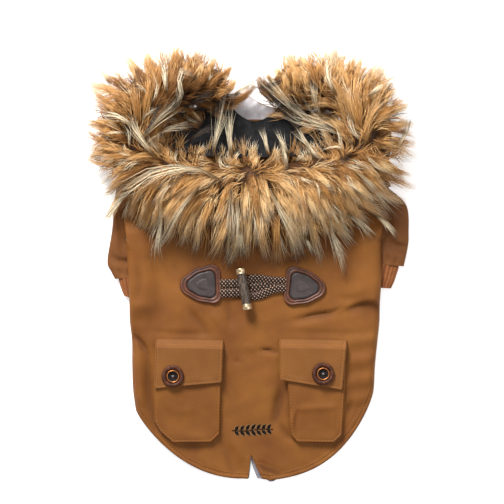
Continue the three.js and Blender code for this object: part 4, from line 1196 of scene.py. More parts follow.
def tab_outline(side, share, count=96):
    """A tab's outline: three rounded corners, a tight one at its tip and two at its back, joined by
    sides that swell a little, drawn in to a share about a point 0.56 of its length from the tip."""
    corners = [(-8.5, 0, 8.5, -62, 62), (-27.5, 9.5, 7.0, 66, 176), (-27.5, -9.5, 7.0, 184, 294)]
    line = []
    for x, y, radius, start, end in corners:
        turn = np.radians(np.linspace(start, end, 9))
        line.append(np.stack([x + radius * np.cos(turn), y + radius * np.sin(turn)], -1))
    middle = np.array([-19.3, 0.0])
    outline = []
    for arc, following, swell in zip(line, line[1:] + line[:1], (1.8, 0.0, 1.8)):
        half = (arc[-1] + following[0]) / 2
        outline += [arc, [half + unit(half - middle) * swell]]
    outline = np.vstack(outline)
    outline = curve(np.vstack([outline, outline[:1]]), count + 1)[:-1]
    outline = middle + (outline - middle) * share
    tip, turned = PATCHES[side]
    angle = math.radians(turned)
    cos, sin = math.cos(angle), math.sin(angle)
    spin = np.array([[cos, sin], [-sin, cos]])
    return np.array(tip) + outline @ spin, np.array(tip) + middle @ spin


def make_tab(side):
    """A leather tab with two rolled ridges round a groove, and its charcoal insert with a faint disc,
    each pressed to its outline with its table's section."""
    for name, share, table, fine, above, material, slot, replaced, shade in (
            ("tab_", 1.0, TAB, 44, SEAM, RIM_LEATHER, "patch_leather", "patch_", 0.85),
            ("tab_insert_", 0.67, INLAY, 32, SEAM + 1.5, INLAY_LEATHER, "inlay_leather",
             "patch_inlay_", 0.7)):
        base = lambda x, y: back_top(x, y, creased=False) + above
        outline, centre = tab_outline(side, share)
        shape = through(np.arange(len(table)), table, np.linspace(0, len(table) - 1, fine))
        points, faces = pressed(outline, centre, np.clip(shape[:, 0], 0, 1), shape[:, 1], base)
        times = np.concatenate([[1], np.full(fine - 2, len(outline)), [1]])
        # painted shade: each ring's darkening from the table's last column
        painted_shade = np.repeat(np.clip(shape[:, 2], 0, 1) * shade, times)
        build(name + side, points, faces, material, slot, replaces=[replaced + side],
              values={"hollow": painted_shade})


BRAID_PITCH = 3.0  # how far apart a braid's yarns come to the top


def braided(path, width, thick):
    """A flat braid carried along a path: an oval ring that swells where a yarn comes to the top, in a
    staggered lattice that is the product of one wave round the cord and one along it. Gives its
    points, faces and where the pale tracer yarn shows. The yarns are drawn a little coarser than real."""
    run = unit(np.gradient(path, axis=0))
    side, up = sides(run)
    count = 40
    turn = np.linspace(0, 2 * math.pi, count, endpoint=False)[None]
    lattice = np.cos(6 * turn) * np.cos(2 * math.pi * measured(path)[:, None] / BRAID_PITCH)
    swell = 1 + 0.07 * np.abs(lattice)
    across = np.cos(turn) * swell * width / 2
    height = np.sin(turn) * swell * thick / 2
    rings = path[:, None] + side[:, None] * across[..., None] + up[:, None] * height[..., None]
    ends = path[[0, -1]] + [run[0] * -0.6, run[-1] * 0.6]
    points = np.vstack([ends[:1], rings.reshape(-1, 3), ends[1:]])
    fleck = np.concatenate([[0], (0.9 * smooth(0.45, 0.75, lattice)).ravel(), [0]])
    return points, capped_tube(len(path), count), fleck


def make_cords():
    """The cords on both sides of the toggle: two short runs on the left, and on the right the loop and
    a strap inside it."""
    left = [([(-26.4, -140.8 + 4.0 * way), (-19, -140.6 + 3.9 * way), (-8.4, -140.4 + 3.7 * way)],
             40, 1.75, 7.0, 2.6) for way in (1, -1)]
    loop = [(28.0, -135.2), (22, -134.6), (16, -134.2), (8, -132.9), (1, -132.5), (-4.6, -134.4),
            (-6.8, -140), (-4.6, -145.4), (1, -147.4), (8, -146.0), (16, -142.4), (22, -141.0),
            (28.0, -140.8)]
    right = [(loop, 230, 1.75, 6.6, 2.7),
             ([(20, -137.8), (10, -139.0), (-1.5, -140.2)], 50, 1.3, 7.6, 2.2)]
    on_back = lambda x, y: back_top(x, y, creased=False)
    for replaced, runs in (("cord_left", left), ("loop_right", right)):
        parts, groups, flecks, start = [], [], [], 0
        for line, count, above, width, thick in runs:
            points, faces, fleck = braided(laid_on(line, count, on_back, above), width, thick)
            parts.append(points)
            groups += [group + start for group in faces]
            flecks.append(fleck)
            start += len(points)
        build(replaced + "_braid", np.vstack(parts), groups, CORD, "braided_cord", replaces=[replaced],
              values={"fleck": np.concatenate(flecks)}, sharp=0)


BARREL_LEAN = 9.9  # the toggle's lean to the left at its top, in degrees
BARREL_HALF = 13.2  # half of its length without the caps
BARREL_DROP = 1.2  # how much lower than its CAD solid it lies


def lathe(name, profile, material, slot, replaced):
    """A shape turned about the toggle's long axis: rings of (along, radius), with a tip at each end."""
    count = 56
    turn = np.arange(count) * 2 * math.pi / count
    lean = math.radians(BARREL_LEAN)
    axis = np.array([-math.sin(lean), math.cos(lean), 0])
    side = np.array([math.cos(lean), math.sin(lean), 0])
    middle = np.array([BARREL_X, BARREL_Y - BARREL_DROP, BARREL.z])
    ring = side * np.cos(turn)[:, None] + np.array([0, 0, 1.0]) * np.sin(turn)[:, None]
    rings = (middle + axis * profile[1:-1, None, :1] + ring * profile[1:-1, None, 1:]).reshape(-1, 3)
    points = np.vstack([middle + axis * profile[0, 0], rings, middle + axis * profile[-1, 0]])
    build(name, points, capped_tube(len(profile) - 2, count), material, slot, replaces=[replaced],
          sharp=40)


def make_toggle():
    """The toggle: a barrel with a slight belly, and two caps, each with a rolled collar, a waist and a
    domed end."""
    share = np.linspace(-1, 1, 41)
    body = np.column_stack([share * BARREL_HALF, 3.62 + 0.36 * (1 - share ** 2) ** 0.8])
    lathe("toggle_horn", np.vstack([[-BARREL_HALF, 0], body, [BARREL_HALF, 0]]), HORN, "horn",
          "toggle_barrel")
    cap = np.array([[12.7, 0], [12.7, 4.1], [12.8, 4.35], [13.1, 4.5], [13.5, 4.5], [13.75, 4.3],
                    [13.85, 4.1], [14.0, 4.05], [14.3, 4.2], [15.2, 4.3], [16.4, 4.3],
                    [17.1, 4.2], [17.5, 3.9], [17.62, 3.4], [17.55, 2.8], [17.45, 2.2], [17.4, 1.2],
                    [17.4, 0]])
    lathe("toggle_cap_up", cap, BRASS, "cap_brass", "toggle_cap_top")
    lathe("toggle_cap_down", cap * [-1, 1], BRASS, "cap_brass", "toggle_cap_bottom")


# ---- stitching on the back ----

def with_slit(line):
    """A line just above the back, moved as the slit's opening moves the cloth."""
    x, y = line[:, 0], line[:, 1]
    pull = slit_pull(y, np.abs(x - SLIT_X), x > SLIT_X, SLIT_TIP, SLIT_LEFT, SLIT_RIGHT)
    return np.column_stack([x + pull, y, back_top(x, y) + 0.08])


def make_back_stitches():
    """Topstitching: along the hem 3.3 inside its edge on each side of the slit, a second row low on the
    right flank, and a row beside the slit."""
    lines = []
    for start, end, by in ((HEM_LEFT + 4, -3.4, 3.3), (2.4, HEM_RIGHT - 4, 3.3),
                           (HEM_RIGHT - 26, HEM_RIGHT - 6, 6.4)):
        x = np.linspace(start, end, 240)
        edge = np.column_stack([x, -hem_down(x)])
        lines.append(with_slit(towards(edge, np.array([[0.0, -180.0]]), by)))
    for x in (-3.6, 2.2):
        y = np.linspace(-281, -297, 12)
        lines.append(with_slit(np.column_stack([np.full(12, x), y])))
    points, faces = stitches(lines, 2.5, 0.27)
    build("hem_stitches", points, faces, THREAD, "shell_twill")


def make_sprig():
    """A plain embroidered sprig near the hem: a stem and pairs of leaves in satin stitch, each leaf a
    row of slanting stitches as long as the leaf is wide there, with pale outlines."""
    middle = np.array([1.5, -259.0])
    rise = math.radians(3)
    way = np.array([math.cos(rise), math.sin(rise)])
    square = np.array([-way[1], way[0]])
    starts, runs, pale_starts, pale_runs = [], [], [], []
    stem = np.linspace(-17, 15, 17)
    starts.append(middle + way * stem[:, None] + square * 0.5 * np.sin(stem / 4)[:, None])
    runs.append(way * np.full((17, 1), 2.4) + square * 0.3)
    for place in np.linspace(-14, 13, 7):
        for up in (1, -1):
            angle = rise + up * math.radians(52)
            leaf = np.array([math.cos(angle), math.sin(angle)])
            root = middle + way * (place - 1.5) + square * up * 0.4
            length = 6.0 - 0.10 * abs(place)
            share = np.linspace(0.08, 0.98, 9)[:, None]
            half = 1.6 * np.sin(math.pi * share ** 0.8)
            across = np.array([-leaf[1], leaf[0]])
            starts.append(root + leaf * length * share)
            runs.append((across + 0.35 * leaf) * half * 2)
            for side in (1, -1):
                pale_starts.append(root + leaf * length * share + across * half * side * 1.08)
                pale_runs.append(np.repeat(leaf[None] * length / 8.0, 9, axis=0))
    for name, places, moves, material, radius in (
            ("sprig", starts, runs, DARK_THREAD, 0.46),
            ("sprig_outline", pale_starts, pale_runs, PALE_THREAD, 0.17)):
        places, moves = np.vstack(places), np.vstack(moves)
        lines = []
        for place, move in zip(places, moves):
            ends = np.stack([place - move / 2, place, place + move / 2])
            height = back_top(ends[:, 0], ends[:, 1]) + 0.12
            lines.append(np.column_stack([ends, height]))
        points, faces = stitches(lines, 50, radius, share=1.0)
        build(name, points, faces, material, "shell_twill")


# ---- the fur ----

# turn round the ring from the throat, outer reach, underside, girth's height, top
PELT = np.array([
    [6, 8, 5, 14, 24], [12, 18, 1, 13, 36], [24, 23, 0, 13, 42], [42, 24, 0, 13, 44],
    [74, 27, 0, 14, 46], [92, 28, 8.2, 15, 46], [130, 33, 8.2, 15, 46], [158, 44, 8.2, 15, 45],
    [180, 50, 8.2, 15, 45], [202, 45, 8.2, 15, 45], [230, 33, 8.2, 15, 46], [268, 27, 8.2, 15, 46],
    [286, 26, 0, 14, 46], [318, 24, 0, 13, 44], [336, 23, 0, 13, 42], [348, 18, 1, 13, 36],
    [354, 8, 5, 14, 24],
])

# The lie of the pile: at each place on the ring, the way it points in degrees from the right, and how
# long its locks are.
LIE = np.array([
    [-122, -2, 172, 24], [-118, 14, 152, 26], [-110, 26, 138, 26], [-96, 30, 112, 26],
    [-80, 32, 98, 30], [-66, 35, 88, 32], [-50, 33, 78, 32], [-36, 27, 60, 30], [-30, 18, 40, 22],
    [-84, 4, 58, 32], [-66, 20, 56, 32], [-48, 22, 52, 28], [-68, 10, -42, 15],
    [-50, 11, -36, 16], [-33, 12, -20, 10], [-94, -18, 66, 30], [-100, 8, 128, 28],
    [-104, -14, 168, 26], [-122, -24, 190, 24], [-116, -44, 208, 26], [-106, -62, 228, 28],
    [-92, -34, 200, 20], [-88, -66, 240, 32], [-74, -52, 246, 30], [-62, -74, 252, 36],
    [-40, -78, 258, 38], [-16, -80, 264, 38], [10, -82, 270, 38], [34, -80, 284, 38],
    [56, -74, 298, 36], [76, -66, 306, 34], [96, -60, 314, 30], [112, -52, 324, 26],
    [118, -34, 344, 26], [118, -14, 2, 26], [114, 4, 18, 28], [106, 16, 34, 30], [94, 24, 50, 30],
    [78, 30, 68, 30], [62, 32, 82, 32], [48, 33, 96, 32], [36, 31, 108, 30], [26, 24, 128, 26],
    [84, 8, 112, 30], [66, 20, 128, 32], [48, 20, 138, 30], [34, 18, 142, 24],
    [62, 9, 220, 15], [46, 10, 212, 24], [33, 11, 200, 18], [88, -14, 140, 30],
    [100, -8, 30, 24], [98, -34, 340, 22], [-64, -34, 96, 14], [-44, -36, 80, 12],
    [-20, -37, 80, 12], [4, -37, 86, 12], [26, -36, 98, 12], [48, -35, 112, 13], [66, -32, 124, 16],
    [-48, -52, 236, 26], [-22, -52, 250, 26], [6, -53, 268, 26], [32, -52, 292, 26],
    [58, -50, 308, 26], [80, -44, 322, 24], [-62, -43, 192, 26], [-38, -43, 198, 24],
    [-14, -44, 190, 22], [10, -45, -8, 22], [36, -43, -14, 24], [60, -42, -18, 24],
])

# Long cream guard hairs with dark ends, each bundle along its own line.
GUARD_HAIRS = [
    [(-91, -18), (-75, 2), (-62, 15), (-57, 25)], [(-85, -21), (-71, -8), (-57, -5), (-39, -2)],
    [(-66, 4), (-58, 18), (-60, 32), (-57, 37), (-50, 35), (-43, 27)],
    [(-80, -32), (-97, -10), (-104, 7)], [(-32, -30), (-30, -15), (-23, 15), (-21, 27)],
    [(-17, -32), (-19, -9), (-19, 20)], [(82, -20), (67, -8), (48, 0), (35, 4), (24, 15), (6, 34)],
    [(50, -2), (32, 10), (12, 30), (-1, 50)],
    [(14, -30), (11, -18), (8, -5)], [(30, -30), (24, -18), (19, -7)], [(50, -26), (42, -16), (34, -4)],
    [(69, 18), (61, 38), (68, 48), (72, 62)],
    [(-26, -52), (-39, -44), (-52, -41), (-66, -42), (-84, -47), (-97, -56), (-122, -62),
     (-137, -64)],
    [(-102, -59), (-112, -72), (-121, -83), (-128, -93)],
    [(-75, -69), (-76, -91), (-80, -108), (-78, -125)],
    [(-44, -57), (-62, -80), (-75, -104), (-92, -119)],
    [(-17, -59), (-18, -91), (-21, -117), (-19, -129)], [(-10, -91), (-9, -104), (-8, -118)],
    [(-12, -66), (-12, -92), (-12, -120)], [(14, -59), (27, -85), (38, -104), (45, -122)],
    [(43, -98), (48, -106), (52, -115)], [(62, -84), (68, -102), (75, -118), (79, -133)],
    [(78, -79), (91, -87), (105, -103)], [(84, -43), (101, -59), (115, -74), (129, -86)],
    [(102, -79), (114, -90), (122, -101)], [(24, -18), (28, -32), (29, -45)],
    [(43, -18), (50, -27), (58, -37)], [(-118, 30), (-124, 38), (-129, 43)],
    [(-14, 20), (-4, 27), (6, 33)], [(95, 17), (108, 26), (121, 27)], [(120, -24), (128, -12), (132, 1)],
    [(-96, -8), (-112, 2), (-130, 4)], [(58, 0), (52, 16), (50, 34)], [(-70, 20), (-72, 40), (-76, 52)],
]

# Dark guard hairs about the throat.
DARK_HAIRS = [
    [(34, -6), (24, 10), (10, 30), (-2, 52)], [(46, 4), (30, 13), (15, 19)],
    [(-36, 0), (-25, 13), (-15, 27)], [(-60, 6), (-42, 17), (-23, 22)], [(24, 30), (8, 25), (-8, 26)],
    [(40, -14), (33, 0), (28, 16)], [(-88, -14), (-78, 4), (-74, 20)], [(-52, -18), (-36, -8), (-20, -6)],
]

# The fur's outline as the tips draw it, seen from above.
OUTLINE = [
    (-142, 0), (-138, 15), (-129, 33), (-114, 46), (-98, 54), (-84, 62), (-68, 69), (-52, 68),
    (-39, 59), (-20, 48), (-12, 32), (14, 33), (24, 44), (31, 62), (44, 67), (52, 68), (67, 65),
    (79, 59), (95, 49), (112, 34), (118, 18), (130, -8), (130, -18), (126, -32), (126, -47),
    (125, -64), (122, -80), (110, -87), (92, -87), (80, -92), (76, -100), (58, -108), (40, -117),
    (12, -118), (-20, -116), (-39, -109), (-52, -104), (-66, -97), (-85, -91), (-104, -89),
    (-120, -74), (-129, -58), (-140, -41), (-142, -30),
]

PELT_ENDS = 6.5, 353.5  # where the ring's two ends stand, in degrees from the throat
ROOTS = 4200  # places that the locks' roots are picked from
DARK_TONE = 0.985
# How far the fur reaches to the sides and up from the ring's middle, and its strands' lowest and
# highest points.
FUR_SIDE, FUR_UP = 139.0, 80.5
FUR_LOW, FUR_HIGH = 1.0, 54.5


def pelt_place(turn, across):
    """A point of the pelt's form on the table's plane: from the hollow's edge (across -1) through the
    ring's spine (0) to its outer reach (1)."""
    spine = squared(turn, RING_HALF)
    hollow = squared(turn, HOLLOW_HALF)
    ahead = squared(turn + 0.4, RING_HALF) - squared(turn - 0.4, RING_HALF)
    out = unit(np.stack([-ahead[..., 1], ahead[..., 0]], -1))
    out *= np.sign((out * (spine - RING_MIDDLE)).sum(axis=-1, keepdims=True))
    reach = through(PELT[:, 0], PELT[:, 1], turn)
    across = np.asarray(across)[..., None]
    return np.where(across > 0, spine + out * reach[..., None] * across,
                    mix(spine, hollow, -across))


def pelt_height(x, y):
    """The pelt's height over any point: where the point lies between the hollow, the spine and the outer
    reach, seen from the ring's middle, gives its share, and the top falls away as the root of one less
    the share squared. Beyond the reach it sinks to the cloth."""
    way = (np.stack([x, y], -1) - RING_MIDDLE) / RING_HALF
    bent = np.sign(way) * np.abs(way) ** (SQUARE / 2)
    turn = np.clip((np.degrees(np.arctan2(bent[..., 1], bent[..., 0])) - 90) % 360, 6, 354)
    spine = squared(turn, RING_HALF)
    hollow = squared(turn, HOLLOW_HALF)
    here = np.hypot(x - RING_MIDDLE[0], y - RING_MIDDLE[1])
    middle = np.hypot(*np.moveaxis(spine - RING_MIDDLE, -1, 0))
    inner = np.hypot(*np.moveaxis(hollow - RING_MIDDLE, -1, 0))
    reach, _, girth, top = np.moveaxis(through(PELT[:, 0], PELT[:, 1:], turn), -1, 0)
    share = np.where(here > middle, (here - middle) / reach, (here - middle) / (middle - inner))
    fall = np.sqrt(np.clip(1 - np.minimum(np.abs(share), 1) ** 2, 0, 1)) ** 0.9
    height = girth + (top - girth) * fall
    past = np.clip(share - 1, 0, 1) * reach
    return np.maximum(height - 0.75 * past, np.where(share < 0, 14.0, 8.0))


def lie_at(x, y):
    """The way the pile points and its length at each point: the neighbours in the table, weighed by the
    fourth power of their nearness."""
    gap = (x[..., None] - LIE[:, 0]) ** 2 + (y[..., None] - LIE[:, 1]) ** 2 + 4.0
    weight = gap ** -2.0
    weight /= weight.sum(axis=-1, keepdims=True)
    angle = np.radians(LIE[:, 2])
    way = np.stack([(weight * np.cos(angle)).sum(-1), (weight * np.sin(angle)).sum(-1)], -1)
    return unit(way), (weight * LIE[:, 3]).sum(-1)


def make_pelt():
    """The pelt under the pile: its form all round, drawn in a little and roughened."""
    rings, around = 150, 36
    turn = np.linspace(*PELT_ENDS, rings)
    section = np.linspace(0, 2 * math.pi, around, endpoint=False)
    across = -np.cos(section)
    up = np.sin(section)
    drawn_in = np.where(across > 0, 0.62, 0.8) * across
    flat = pelt_place(np.repeat(turn, around), np.tile(drawn_in, rings)).reshape(rings, around, 2)
    _, under, girth, top = np.moveaxis(through(PELT[:, 0], PELT[:, 1:], turn), -1, 0)[:, :, None]
    height = np.where(up > 0, girth + (top - girth - 9.0) * np.abs(up) ** 0.9,
                      girth - (girth - under - 0.6) * np.abs(up) ** 0.6)
    rough = 1.3 * np.sin(flat[..., 0] / 2.9 + flat[..., 1] / 5.3) * np.sin(flat[..., 1] / 2.3)
    height = height + rough * np.clip(up, 0, 1) + 0.5 * (1.3 + rough) * np.clip(-up, 0, 1)
    points = np.concatenate([flat, height[..., None]], -1)
    ends = points[[0, -1]].mean(axis=1)
    points = np.vstack([ends[:1], points.reshape(-1, 3), ends[1:]])
    tone = np.column_stack([0.06 + 0.14 * np.tile(np.arange(around) / around, rings),
                            0.02 + 0.04 * np.repeat(np.arange(rings) / rings, around)])
    tone = np.vstack([tone[:1], tone, tone[-1:]])
    build("pelt", points, capped_tube(rings, around), FUR, "fur_pile", replaces=["fur_trim"], uv=tone,
          sharp=0)


def strand_mesh(paths, width, tone):
    """Closed three-sided strands along paths of a few stations: they thicken to a third of the way, then
    taper to a point. The map holds each strand's tone across and the way from root to tip up."""
    count, stations, _ = paths.shape
    run = unit(np.gradient(paths, axis=1))
    side = unit(np.cross(run, [0.12, 0.05, 1.0]))
    up = np.cross(side, run)
    way = np.linspace(0, 1, stations)
    taper = np.interp(way, [0, 0.3, 0.7, 1], [0.7, 1.0, 0.72, 0.05])
    radius = (width[:, None] * taper / 2)[..., None, None]
    turn = np.radians([90.0, 210.0, 330.0])
    ring = (side[:, :, None] * np.cos(turn)[:, None] + up[:, :, None] * np.sin(turn)[:, None])
    rings = (paths[:, :, None] + ring * radius)[:, :-1].reshape(count, -1, 3)
    points = np.concatenate([rings, paths[:, -1:]], axis=1).reshape(-1, 3)
    quads = grid_faces(stations - 1, 3, around=True)
    last = (stations - 1) * 3
    ends = np.array([[0, 2, 1], [last - 3, last - 2, last], [last - 2, last - 1, last],
                     [last - 1, last - 3, last]])
    each = last + 1
    shift = (np.arange(count) * each)[:, None, None]
    groups = [(quads[None] + shift).reshape(-1, 4), (ends[None] + shift).reshape(-1, 3)]
    spread = np.append(np.tile([-0.004, 0.0, 0.004], stations - 1), 0.0)
    up_map = np.append(np.repeat(way[:-1], 3), 1.0)
    uv = np.stack([np.clip(tone[:, None] + spread, 0.001, 0.999),
                   np.repeat(up_map[None] * 0.998 + 0.001, count, axis=0)], -1)
    return points, groups, uv.reshape(-1, 2)


def lock_paths(root, way_change, length, curl, lift, stations):
    """Guides of the locks: from its root each steps along the lie of the pile, turned by its own
    change, a swirl that drifts over the pelt, and its curl, all three halved on the crown, and
    rises above the pelt and comes down again."""
    place = root.copy()
    way, _ = lie_at(place[:, 0], place[:, 1])
    calm = mix(1.0, 0.5, smooth(-36, -54, root[:, 1]))
    swirl = 0.34 * np.sin(root[:, 0] / 15.0 + 1.3) * np.sin(root[:, 1] / 11.0 + 0.4)
    line = [place]
    for step in range(1, stations):
        ahead, _ = lie_at(place[:, 0], place[:, 1])
        way = way * 0.55 + ahead * 0.45
        sway = calm * (way_change + swirl + curl * math.cos(math.pi * 1.5 * step / stations))
        turned = np.stack([way[:, 0] * np.cos(sway) - way[:, 1] * np.sin(sway),
                           way[:, 0] * np.sin(sway) + way[:, 1] * np.cos(sway)], -1)
        place = place + turned * (length / (stations - 1))[:, None]
        line.append(place)
    line = np.stack(line, axis=1)
    line = line[:, :1] + (line - line[:, :1]) * within_outline(line)[:, None, None]
    share = np.linspace(0, 1, stations)
    ground = pelt_height(line[..., 0], line[..., 1])
    height = ground - 8.0 * (1 - share) ** 1.6 + lift[:, None] * np.sin(math.pi * share ** 0.8)
    return np.concatenate([line, height[..., None]], -1)


def within_outline(line):
    """How much of its length each lock keeps so that its tip stays near the fur's outline, a line about
    the ring's middle, some falling short and a few going past."""
    tip = line[:, -1] - RING_MIDDLE
    angle = np.degrees(np.arctan2(tip[:, 1], tip[:, 0])) % 360
    edge = np.array(OUTLINE, float) - RING_MIDDLE
    edge_angle = np.degrees(np.arctan2(edge[:, 1], edge[:, 0])) % 360
    order = np.argsort(edge_angle)
    reach = np.interp(angle, edge_angle[order], np.hypot(edge[:, 0], edge[:, 1])[order], period=360)
    reach = reach * (1.14 - np.abs(chance.normal(0, 0.09, len(tip))))
    turn = np.radians(angle)
    reach = np.minimum(reach, FUR_SIDE / np.maximum(np.abs(np.cos(turn)), 0.01))
    reach = np.minimum(reach, FUR_UP / np.maximum(np.sin(turn), 0.01))
    start = np.hypot(*(line[:, 0] - RING_MIDDLE).T)
    here = np.hypot(tip[:, 0], tip[:, 1])
    keep = np.where(here > reach, (reach - start) / np.maximum(here - start, 1e-6), 1.0)
    return np.clip(keep, 0.3, 1.0)


def lock_strands(guides, each, spread, gather, fray):
    """Each lock's strands: they start spread about its root and draw together towards its tip, each
    with its own length, its own small turn away from the lock and a fine wave."""
    count, stations, _ = guides.shape
    share = np.linspace(0, 1, stations)[None, None, :, None]
    angle = chance.uniform(0, 2 * math.pi, (count, each))
    out = np.sqrt(chance.uniform(0, 1, (count, each))) * spread
    offset = np.stack([np.cos(angle) * out, np.sin(angle) * out,
                       chance.normal(0, 1.1, (count, each))], -1)[:, :, None]
    narrowing = 1 - (1 - gather) * share ** 0.8
    long = chance.uniform(0.68, 1.08, (count, each))[..., None, None]
    middle = guides[:, None]
    start = middle[:, :, :1]
    paths = start + (middle - start) * long + offset * narrowing
    run = middle[:, :, -1:] - start
    side = np.cross(run, [0, 0, 1.0])
    turned = chance.normal(0, fray, (count, each))[..., None, None]
    paths = paths + side * turned * share ** 1.3
    side = unit(side)
    wave = chance.normal(0, 0.5, (count, each))[..., None, None]
    phase = chance.uniform(0, 6.3, (count, each))[..., None, None]
    paths = paths + side * wave * np.sin(phase + share * 5.0) * share
    rise = chance.normal(0, 1.6, (count, each))[..., None]
    paths[..., 2] = np.clip(paths[..., 2] + rise * share[..., 0], FUR_LOW, FUR_HIGH)
    return paths.reshape(-1, stations, 3)


def layer(root, turn, gap, each, long, bend, lift, shape, stations):
    """One layer of locks rooted a gap apart over the pelt: its strands' paths, and each strand's tone
    and turn round the ring. Shape is the locks' spread, gather and fray."""
    kept = spread_out(root, gap)
    root, count = root[kept], len(kept)
    _, length = lie_at(root[:, 0], root[:, 1])
    guides = lock_paths(root, chance.normal(0, bend, count), length * chance.uniform(*long, count),
                        chance.normal(0, 0.19, count), chance.uniform(*lift, count), stations)
    strands = lock_strands(guides, each, *shape)
    return strands, np.repeat(lock_tone(root), each), np.repeat(turn[kept], each)


def make_fur():
    """The pile: a short thick under layer all over the pelt, drawn-together locks over it, and a fringe
    of small locks along the crown's inner edge, then the guard hairs."""
    make_pelt()
    turn = chance.uniform(*PELT_ENDS, ROOTS)
    across = chance.uniform(-0.92, 0.66, ROOTS)
    root = pelt_place(turn, across)
    inner = (root[:, 1] < -26) & (np.abs(root[:, 0]) < 78) & (across < -0.35)
    free = (across < 0.42) & ~inner
    # name, where, gap, strands each, length, bend, lift, shape, stations, tone, width, pieces
    for name, here, gap, each, long, bend, lift, shape, stations, change, wide, pieces in (
            ("fur_under", across > -1, 3.3, 8, (0.45, 0.9), 0.42, (0.5, 3.5), (3.2, 0.85, 0.2), 4,
             -0.08, (0.4, 0.7), 1),
            ("fur_fringe", inner, 3.4, 13, (0.7, 1.7), 0.3, (1.0, 5.0), (2.4, 0.5, 0.14), 5,
             0.02, (0.28, 0.44), 1),
            ("fur_pile", free, 6.8, 64, (1.1, 1.9), 0.13, (2.0, 7.0), (4.8, 0.15, 0.06), 5,
             0.0, (0.28, 0.46), 2)):
        paths, tone, turns = layer(root[here], turn[here], gap, each, long, bend, lift, shape, stations)
        tone = np.clip(tone + change + chance.normal(0, 0.06, len(paths)), 0.02, 0.76)
        width = chance.uniform(*wide, len(paths))
        for part, chosen in enumerate(np.array_split(np.argsort(turns, kind="stable"), pieces)):
            points, groups, uv = strand_mesh(paths[chosen], width[chosen], tone[chosen])
            build("%s_%d" % (name, part + 1), points, groups, FUR, "fur_pile", uv=uv, sharp=0)
    make_guard_hairs()


def spread_out(points, gap):
    """The places of points that keep a gap from every point chosen before them."""
    near = ((points[:, None] - points[None]) ** 2).sum(-1) < gap ** 2
    chosen = []
    for place in range(len(points)):
        if not near[place, chosen].any():
            chosen.append(place)
    return np.array(chosen)


def lock_tone(root):
    """How light each lock is: its own chance, lighter on the crown and the right, and darker low in the
    two ends beside the throat, as painted shade where the pile turns down into the hood's opening."""
    x, y = root[:, 0], root[:, 1]
    tone = 0.5 + chance.normal(0, 0.14, len(root)) + 0.23 * smooth(-38, -76, y)
    # the first two, darker, are painted shade beside the throat; the third makes the right lighter
    for middle_x, middle_y, wide, change in ((-66, 6, 38, -0.32), (46, 2, 28, -0.24), (80, 38, 40, 0.1)):
        away = ((x - middle_x) / wide) ** 2 + ((y - middle_y) / 20) ** 2
        tone += change * np.exp(-away)
    return tone


def make_guard_hairs():
    """Bundles of long guard hairs over the pile, and short ones at random among the locks."""
    stations, each, shorts = 7, 26, 90
    guides = []
    for line in GUARD_HAIRS + DARK_HAIRS:
        flat = curve(line, stations)
        share = np.linspace(0, 1, stations)
        height = pelt_height(flat[:, 0], flat[:, 1]) + 3.5 + 4.0 * np.sin(math.pi * share)
        guides.append(np.column_stack([flat, height]))
    guides = np.stack(guides)
    long = lock_strands(guides, each, 1.6, 0.7, 0.07)
    root = pelt_place(chance.uniform(8, 352, shorts), chance.uniform(-0.9, 0.9, shorts))
    _, length = lie_at(root[:, 0], root[:, 1])
    short = lock_paths(root, chance.normal(0, 0.3, shorts), length * chance.uniform(0.9, 1.5, shorts),
                       chance.normal(0, 0.35, shorts), chance.uniform(4, 8, shorts), stations)
    short = lock_strands(short, 7, 1.3, 0.6, 0.07)
    paths = np.concatenate([long, short])
    width = chance.uniform(0.24, 0.38, len(paths))
    some = chance.uniform(0, 1, len(paths)) < 0.12
    tone = np.where(some, DARK_TONE, chance.uniform(0.86, 0.92, len(paths)))
    dark = slice(len(GUARD_HAIRS) * each, len(long))
    tone[dark] = DARK_TONE
    width[dark] *= 0.7
    points, groups, uv = strand_mesh(paths, width, tone)
    build("guard_hairs", points, groups, FUR, "fur_pile", uv=uv, sharp=0)


# ---- the light, the floor and the camera ----

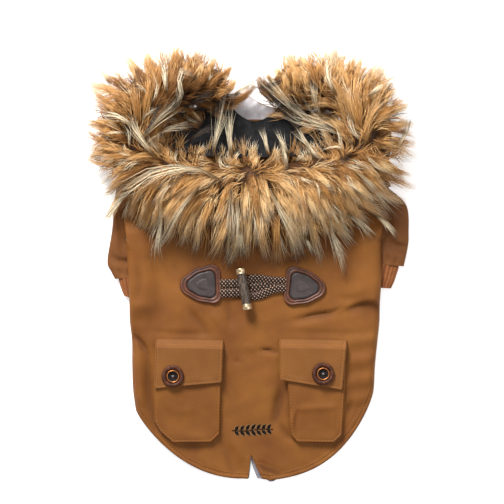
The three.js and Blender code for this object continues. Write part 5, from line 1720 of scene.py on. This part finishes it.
def make_stage():
    """A white acrylic light table under the coat, which glows and so takes almost no shadow, with a
    soft light from the hood's side and the left and a weaker one across from it."""
    bpy.ops.mesh.primitive_plane_add(size=6)
    floor = bpy.context.object
    floor.name = "floor"
    floor.data.transform(mathutils.Matrix.Translation((0, 0, -0.0004)))
    material, _, _, _ = started("lit_acrylic", Roughness=0.9, Base_Color=linear("f4f4f4"),
                                Emission_Color=linear("ffffff"), Emission_Strength=0.5)
    floor.data.materials.append(material)
    world = bpy.data.worlds.new("studio")
    world.use_nodes = True
    world.node_tree.nodes["Background"].inputs["Color"].default_value = (1, 1, 1, 1)
    world.node_tree.nodes["Background"].inputs["Strength"].default_value = 0.42
    bpy.context.scene.world = world
    for place, size, watts in (((-0.50, 1.15, 0.95), 0.55, 43.0), ((0.8, -0.2, 1.6), 1.3, 9.0)):
        light = bpy.data.objects.new("softbox", bpy.data.lights.new("softbox", "AREA"))
        light.data.size = size
        light.data.energy = watts
        light.location = place
        light.rotation_euler = (-mathutils.Vector(place)).to_track_quat("-Z", "Y").to_euler()
        bpy.context.scene.collection.objects.link(light)


def make_camera():
    """A camera straight above the coat's middle, 110.5 down from the nape, with a long lens, 420
    millimetres across at the cloth."""
    camera = bpy.data.objects.new("camera", bpy.data.cameras.new("camera"))
    camera.data.sensor_width = 36
    camera.data.lens = 213.6
    camera.data.clip_end = 20
    camera.location = (NAPE[0] / 1000, (NAPE[1] - 110.5) / 1000, 2.5)
    bpy.context.scene.collection.objects.link(camera)
    bpy.context.scene.camera = camera


make_camera()
make_stage()
make_back()
make_tail_lining()
make_belly("left")
make_belly("right")
make_chest_lining()
make_hood("hood_lining_fleece", "hood_lining", FLEECE, "black_fleece", 1.2, 1.1, 0.22)
make_hood("hood_shell_cloth", "hood_shell", SHELL, "shell_twill", -0.3, 1.5, 0.05)
make_sleeve("left")
make_sleeve("right")
make_cuff("left")
make_cuff("right")
for side in ("left", "right"):
    make_pocket(side)
    make_button(side)
    make_tab(side)
make_cords()
make_toggle()
make_back_stitches()
make_sprig()
make_fur()

bpy.context.scene.view_settings.view_transform = "Standard"
